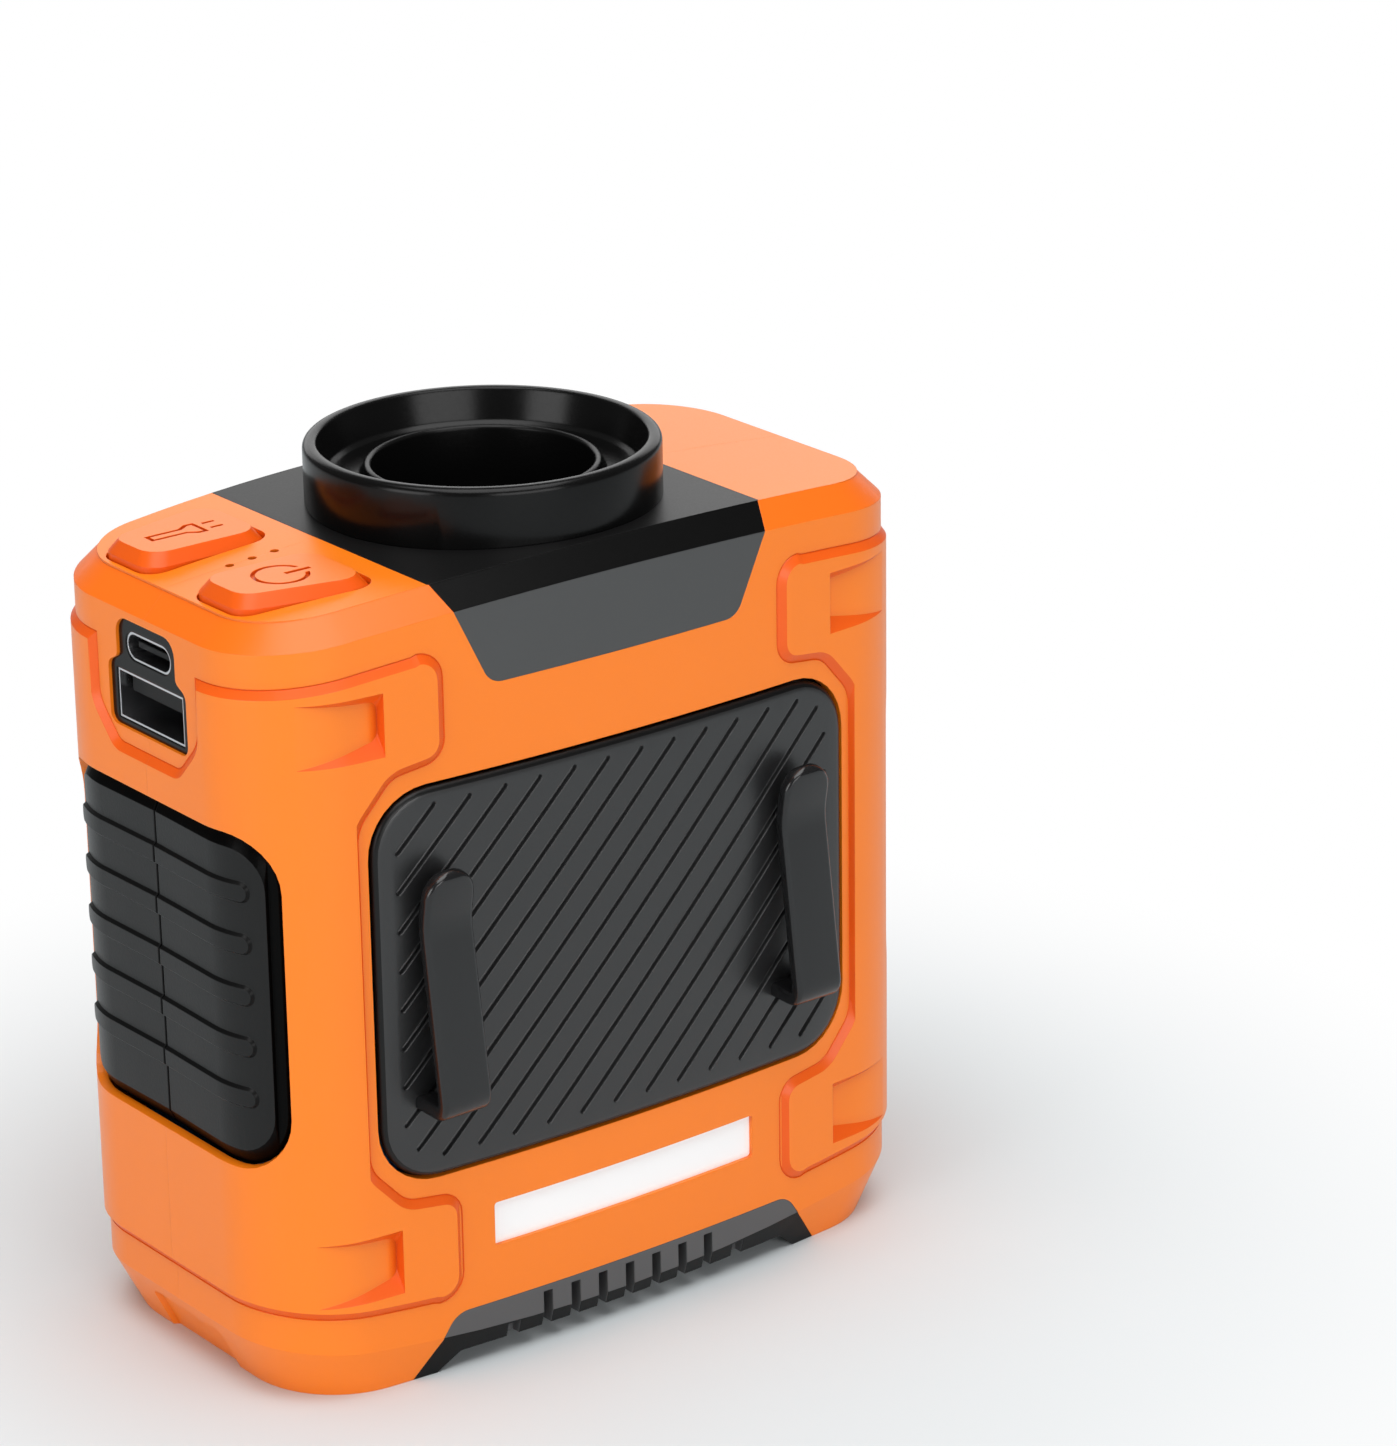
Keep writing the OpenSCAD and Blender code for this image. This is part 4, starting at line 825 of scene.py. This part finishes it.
def dress(node, material, angle=28):
    """A piece that keeps its CAD shape: welded, smoothed across shallow angles, given its material."""
    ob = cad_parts[node]
    ob.data.materials.clear()
    ob.data.materials.append(material)
    tree = bpy.data.node_groups.get("weld_and_smooth_%d" % angle)
    if tree is None:
        tree = bpy.data.node_groups.new("weld_and_smooth_%d" % angle, "GeometryNodeTree")
        tree.interface.new_socket("Geometry", in_out="INPUT", socket_type="NodeSocketGeometry")
        tree.interface.new_socket("Geometry", in_out="OUTPUT", socket_type="NodeSocketGeometry")
        shape_in, shape_out = tree.nodes.new("NodeGroupInput"), tree.nodes.new("NodeGroupOutput")
        plain = tree.nodes.new("GeometryNodeRemoveAttribute")
        plain.inputs["Name"].default_value = "custom_normal"
        weld = tree.nodes.new("GeometryNodeMergeByDistance")
        weld.inputs["Distance"].default_value = 0.000004
        smooth = tree.nodes.new("GeometryNodeSetShadeSmooth")
        smooth.domain = "FACE"
        smooth.inputs["Shade Smooth"].default_value = True
        crisp = tree.nodes.new("GeometryNodeSetShadeSmooth")
        crisp.domain = "EDGE"
        crisp.inputs["Shade Smooth"].default_value = False
        bend = tree.nodes.new("GeometryNodeInputMeshEdgeAngle")
        steep = tree.nodes.new("FunctionNodeCompare")
        steep.operation = "GREATER_THAN"
        steep.inputs[1].default_value = math.radians(angle)
        tree.links.new(shape_in.outputs[0], plain.inputs["Geometry"])
        tree.links.new(plain.outputs["Geometry"], weld.inputs["Geometry"])
        tree.links.new(weld.outputs["Geometry"], smooth.inputs["Geometry"])
        tree.links.new(smooth.outputs["Geometry"], crisp.inputs["Geometry"])
        tree.links.new(bend.outputs["Unsigned Angle"], steep.inputs[0])
        tree.links.new(steep.outputs["Result"], crisp.inputs["Selection"])
        tree.links.new(crisp.outputs["Geometry"], shape_out.inputs[0])
    ob.modifiers.new("weld_and_smooth", "NODES").node_group = tree


GLOSS = plastic("gloss_black", (0.003, 0.003, 0.003), rough=0.22, grain=0.1, scale=2500, spread=0.05,
                round_mm=0.3, spec=0.2)
dress("nozzle_collar", GLOSS)

# --------------------------------------------------------------------------
# Fan: a moulded duct under the collar, guide vanes that hold the motor in it, and a
# nine-bladed impeller on the motor's shaft. All three mouldings are matt black.
BLACK = plastic("black_moulding", (0.01, 0.01, 0.011), rough=0.4, grain=0.2, spread=0.1)
for node in ("fan_duct", "guide_vanes", "impeller"):
    dress(node, BLACK)
STEEL = plastic("bright_steel", (0.62, 0.62, 0.64), rough=0.25, grain=0.1, scale=6000, metallic=1.0,
                round_mm=0.08)
for node in ("motor", "motor_shaft"):
    dress(node, STEEL)

# --------------------------------------------------------------------------
# Base grille: a grey plastic moulding between the feet, with air slots up both faces. Its
# faces that lean towards the ground take a near-black painted shade.


def lean_shade_mask(none, full):
    """Painted shade by how far a face looks up: 1 is straight up, 0 upright, and below 0 is down."""
    def mask(tree):
        co = tree.nodes.new("ShaderNodeTexCoord")
        xyz = tree.nodes.new("ShaderNodeSeparateXYZ")
        tree.links.new(co.outputs["Normal"], xyz.inputs[0])
        on = tree.nodes.new("ShaderNodeMapRange")
        on.inputs["From Min"].default_value = none
        on.inputs["From Max"].default_value = full
        tree.links.new(xyz.outputs["Z"], on.inputs["Value"])
        return on.outputs["Result"]

    return mask


BASE_GREY = plastic("base_moulding", (0.085, 0.085, 0.087), rough=0.36, grain=0.25, spread=0.06,
                    painted_shade=(lean_shade_mask(-0.12, -0.22), (0.003, 0.003, 0.003), 0.2))
dress("base_grille", BASE_GREY, 12)

# --------------------------------------------------------------------------
# Buttons: two orange plastic keys with sloping flanks and a sunk sign each, which slide
# down in their openings onto the switches below.
# Painted shade: the flanks take a darker orange with less shine, and creases darken by an ambient-occlusion
# mix.
BUTTON = plastic("button_moulding", (0.95, 0.2, 0.01), rough=0.36, grain=0.2, spread=0.02, round_mm=0.12,
                 crease_shade=(0.5, 0.05, 0.002), painted_shade=(lean_shade_mask(0.93, 0.8), (0.78, 0.1, 0.004), 0.3))
for node in ("torch_button", "power_button"):
    dress(node, BUTTON, 20)

# --------------------------------------------------------------------------
# Charge lights and switches: three small dark lenses between the buttons, over a green
# board on posts that carries the two push switches.
BOARD = plastic("board_lacquer", (0.015, 0.13, 0.05), rough=0.3, grain=0.1, spread=0.15, round_mm=0)
dress("charge_lights", plastic("dark_lens", (0.09, 0.012, 0.006), rough=0.2, grain=0, round_mm=0))
dress("switch_board", BOARD)
dress("push_switches", BLACK)

# --------------------------------------------------------------------------
# Name plate: a thin white plastic strip without any writing, in a shallow recess low on
# the clip face.
WHITE = plastic("white_plate", (0.98, 0.98, 0.98), rough=0.35, grain=0.1, spread=0.01, round_mm=0.1)
dress("name_plate", WHITE)

# --------------------------------------------------------------------------
# Ports: a gloss black bezel in the left end round a large and a small charging socket,
# each a steel shell round a black core on its own green board.
CORE = plastic("socket_core", (0.003, 0.003, 0.003), rough=0.4, grain=0.1, spread=0.05, spec=0.2)
dress("port_bezel", GLOSS)
for node in ("usb_a_socket", "usb_c_socket"):
    dress(node, STEEL)
for node in ("usb_a_tongue", "usb_c_tongue"):
    dress(node, CORE)
for node in ("port_board", "usb_c_board"):
    dress(node, BOARD)

# --------------------------------------------------------------------------
# Torch: a gloss black ring in the right end holds a clear lens over a mirrored cone, with
# a yellow lamp chip at the bottom of the cone.
LENS = plastic("clear_lens", (0.95, 0.97, 1.0), rough=0.05, grain=0, round_mm=0)
LENS.node_tree.nodes["Principled BSDF"].inputs["Transmission Weight"].default_value = 1.0
dress("torch_ring", GLOSS)
dress("torch_lens", LENS)
MIRROR = plastic("mirror_coat", (0.9, 0.9, 0.92), rough=0.08, grain=0.0, metallic=1.0, round_mm=0)
dress("torch_reflector", MIRROR)
dress("torch_led", plastic("lamp_yellow", (0.85, 0.72, 0.2), rough=0.4, grain=0, round_mm=0))

# --------------------------------------------------------------------------
# Power: four round cells in blue film, two to a side, in black plastic holders with windows.
# Steel strips join their lower ends.
WRAP = plastic("cell_wrap", (0.03, 0.16, 0.42), rough=0.3, grain=0.05, round_mm=0)
for side in ("left", "right"):
    dress(side + "_cells", WRAP)
    dress(side + "_cell_holder", BLACK)
dress("cell_tabs", STEEL)

# --------------------------------------------------------------------------
# Case screws: four cross-headed steel screws through the rear half, with their heads sunk
# below its face.
dress("case_screws", STEEL)

# --------------------------------------------------------------------------
# Studio: a pale floor that keeps its soft shadow close round the product and goes to white
# further out, a white surround for the camera only, and four soft lights.
WHITE_FROM, WHITE_BY = 0.05, 0.135
ROOM = 0.14
sheet = bpy.data.meshes.new("floor")
sheet.from_pydata([(-6, -6, 0), (6, -6, 0), (6, 6, 0), (-6, 6, 0)], [], [(0, 1, 2, 3)])
floor = bpy.data.objects.new("floor", sheet)
bpy.context.scene.collection.objects.link(floor)
paper = bpy.data.materials.new("studio_floor")
paper.use_nodes = True
coat = paper.node_tree.nodes["Principled BSDF"]
coat.inputs["Base Color"].default_value = (0.68, 0.72, 0.735, 1)
coat.inputs["Roughness"].default_value = 0.9
coat.inputs["Specular IOR Level"].default_value = 0.1
tree = paper.node_tree
spot = tree.nodes.new("ShaderNodeTexCoord")
reach = tree.nodes.new("ShaderNodeVectorMath")
reach.operation = "LENGTH"
fade = tree.nodes.new("ShaderNodeMapRange")
fade.interpolation_type = "SMOOTHSTEP"
fade.inputs["From Min"].default_value = WHITE_FROM
fade.inputs["From Max"].default_value = WHITE_BY
ray = tree.nodes.new("ShaderNodeLightPath")
only = tree.nodes.new("ShaderNodeMath")
only.operation = "MULTIPLY"
white = tree.nodes.new("ShaderNodeEmission")
blend = tree.nodes.new("ShaderNodeMixShader")
tree.links.new(spot.outputs["Object"], reach.inputs[0])
tree.links.new(reach.outputs["Value"], fade.inputs["Value"])
tree.links.new(fade.outputs["Result"], only.inputs[0])
tree.links.new(ray.outputs["Is Camera Ray"], only.inputs[1])
tree.links.new(only.outputs[0], blend.inputs[0])
tree.links.new(coat.outputs[0], blend.inputs[1])
tree.links.new(white.outputs[0], blend.inputs[2])
tree.links.new(blend.outputs[0], tree.nodes["Material Output"].inputs["Surface"])
floor.data.materials.append(paper)

world = bpy.data.worlds.new("studio")
bpy.context.scene.world = world
world.use_nodes = True
sky = world.node_tree
seen = sky.nodes["Background"]
seen.inputs["Color"].default_value = (1, 1, 1, 1)
room = sky.nodes.new("ShaderNodeBackground")
room.inputs["Color"].default_value = (1, 1, 1, 1)
room.inputs["Strength"].default_value = ROOM
pick = sky.nodes.new("ShaderNodeMixShader")
path = sky.nodes.new("ShaderNodeLightPath")
sky.links.new(path.outputs["Is Camera Ray"], pick.inputs[0])
sky.links.new(room.outputs[0], pick.inputs[1])
sky.links.new(seen.outputs[0], pick.inputs[2])
sky.links.new(pick.outputs[0], sky.nodes["World Output"].inputs["Surface"])


def softbox(name, azimuth, elevation, distance, wide, high, radiance):
    """Soft light aimed at the product from a direction, with its brightness as seen from there."""
    d = bpy.data.lights.new(name, "AREA")
    d.shape = "RECTANGLE"
    d.size, d.size_y = wide, high
    d.energy = math.pi * wide * high * radiance
    o = bpy.data.objects.new(name, d)
    bpy.context.scene.collection.objects.link(o)
    a, e = math.radians(azimuth), math.radians(elevation)
    way = Vector((math.cos(a) * math.cos(e), math.sin(a) * math.cos(e), math.sin(e)))
    o.location = way * distance + Vector((0, 0, 0.05))
    o.rotation_euler = way.to_track_quat("Z", "Y").to_euler()


softbox("overhead", 250, 80, 1.1, 1.1, 1.1, 3.6)
softbox("back_wall", 55, 20, 1.5, 1.9, 0.8, 1.25)
softbox("left_wall", 186, 14, 1.0, 0.5, 0.5, 4.1)
softbox("front_wall", 262, 15, 1.2, 0.9, 0.5, 3.75)

# --------------------------------------------------------------------------
# Camera: a long lens that looks down a little on the clip face, from the port end's side,
# rolled by a hair. Its place is in metres.
CAMERA_AT = Vector((-0.32379, -0.45692 + MID_Y * MM, 0.27213))
CAMERA_TURN, CAMERA_DOWN, CAMERA_ROLL = 37.7302, 20.3552, -0.8307
cam = bpy.data.cameras.new("camera")
cam.sensor_width = 36
cam.lens = 131.3
cam.clip_start = 0.01
cam_ob = bpy.data.objects.new("camera", cam)
bpy.context.scene.collection.objects.link(cam_ob)
az, el, roll = (math.radians(a) for a in (CAMERA_TURN, CAMERA_DOWN, CAMERA_ROLL))
back = Vector((-math.sin(az) * math.cos(el), -math.cos(az) * math.cos(el), math.sin(el)))
right = (-back).cross(Vector((0, 0, 1))).normalized()
up = right.cross(-back)
side = right * math.cos(roll) + up * math.sin(roll)
rise = up * math.cos(roll) - right * math.sin(roll)
turned = Matrix((side, rise, back)).transposed()
cam_ob.matrix_world = Matrix.Translation(CAMERA_AT) @ turned.to_4x4()
bpy.context.scene.camera = cam_ob
bpy.context.scene.view_settings.view_transform = "Standard"
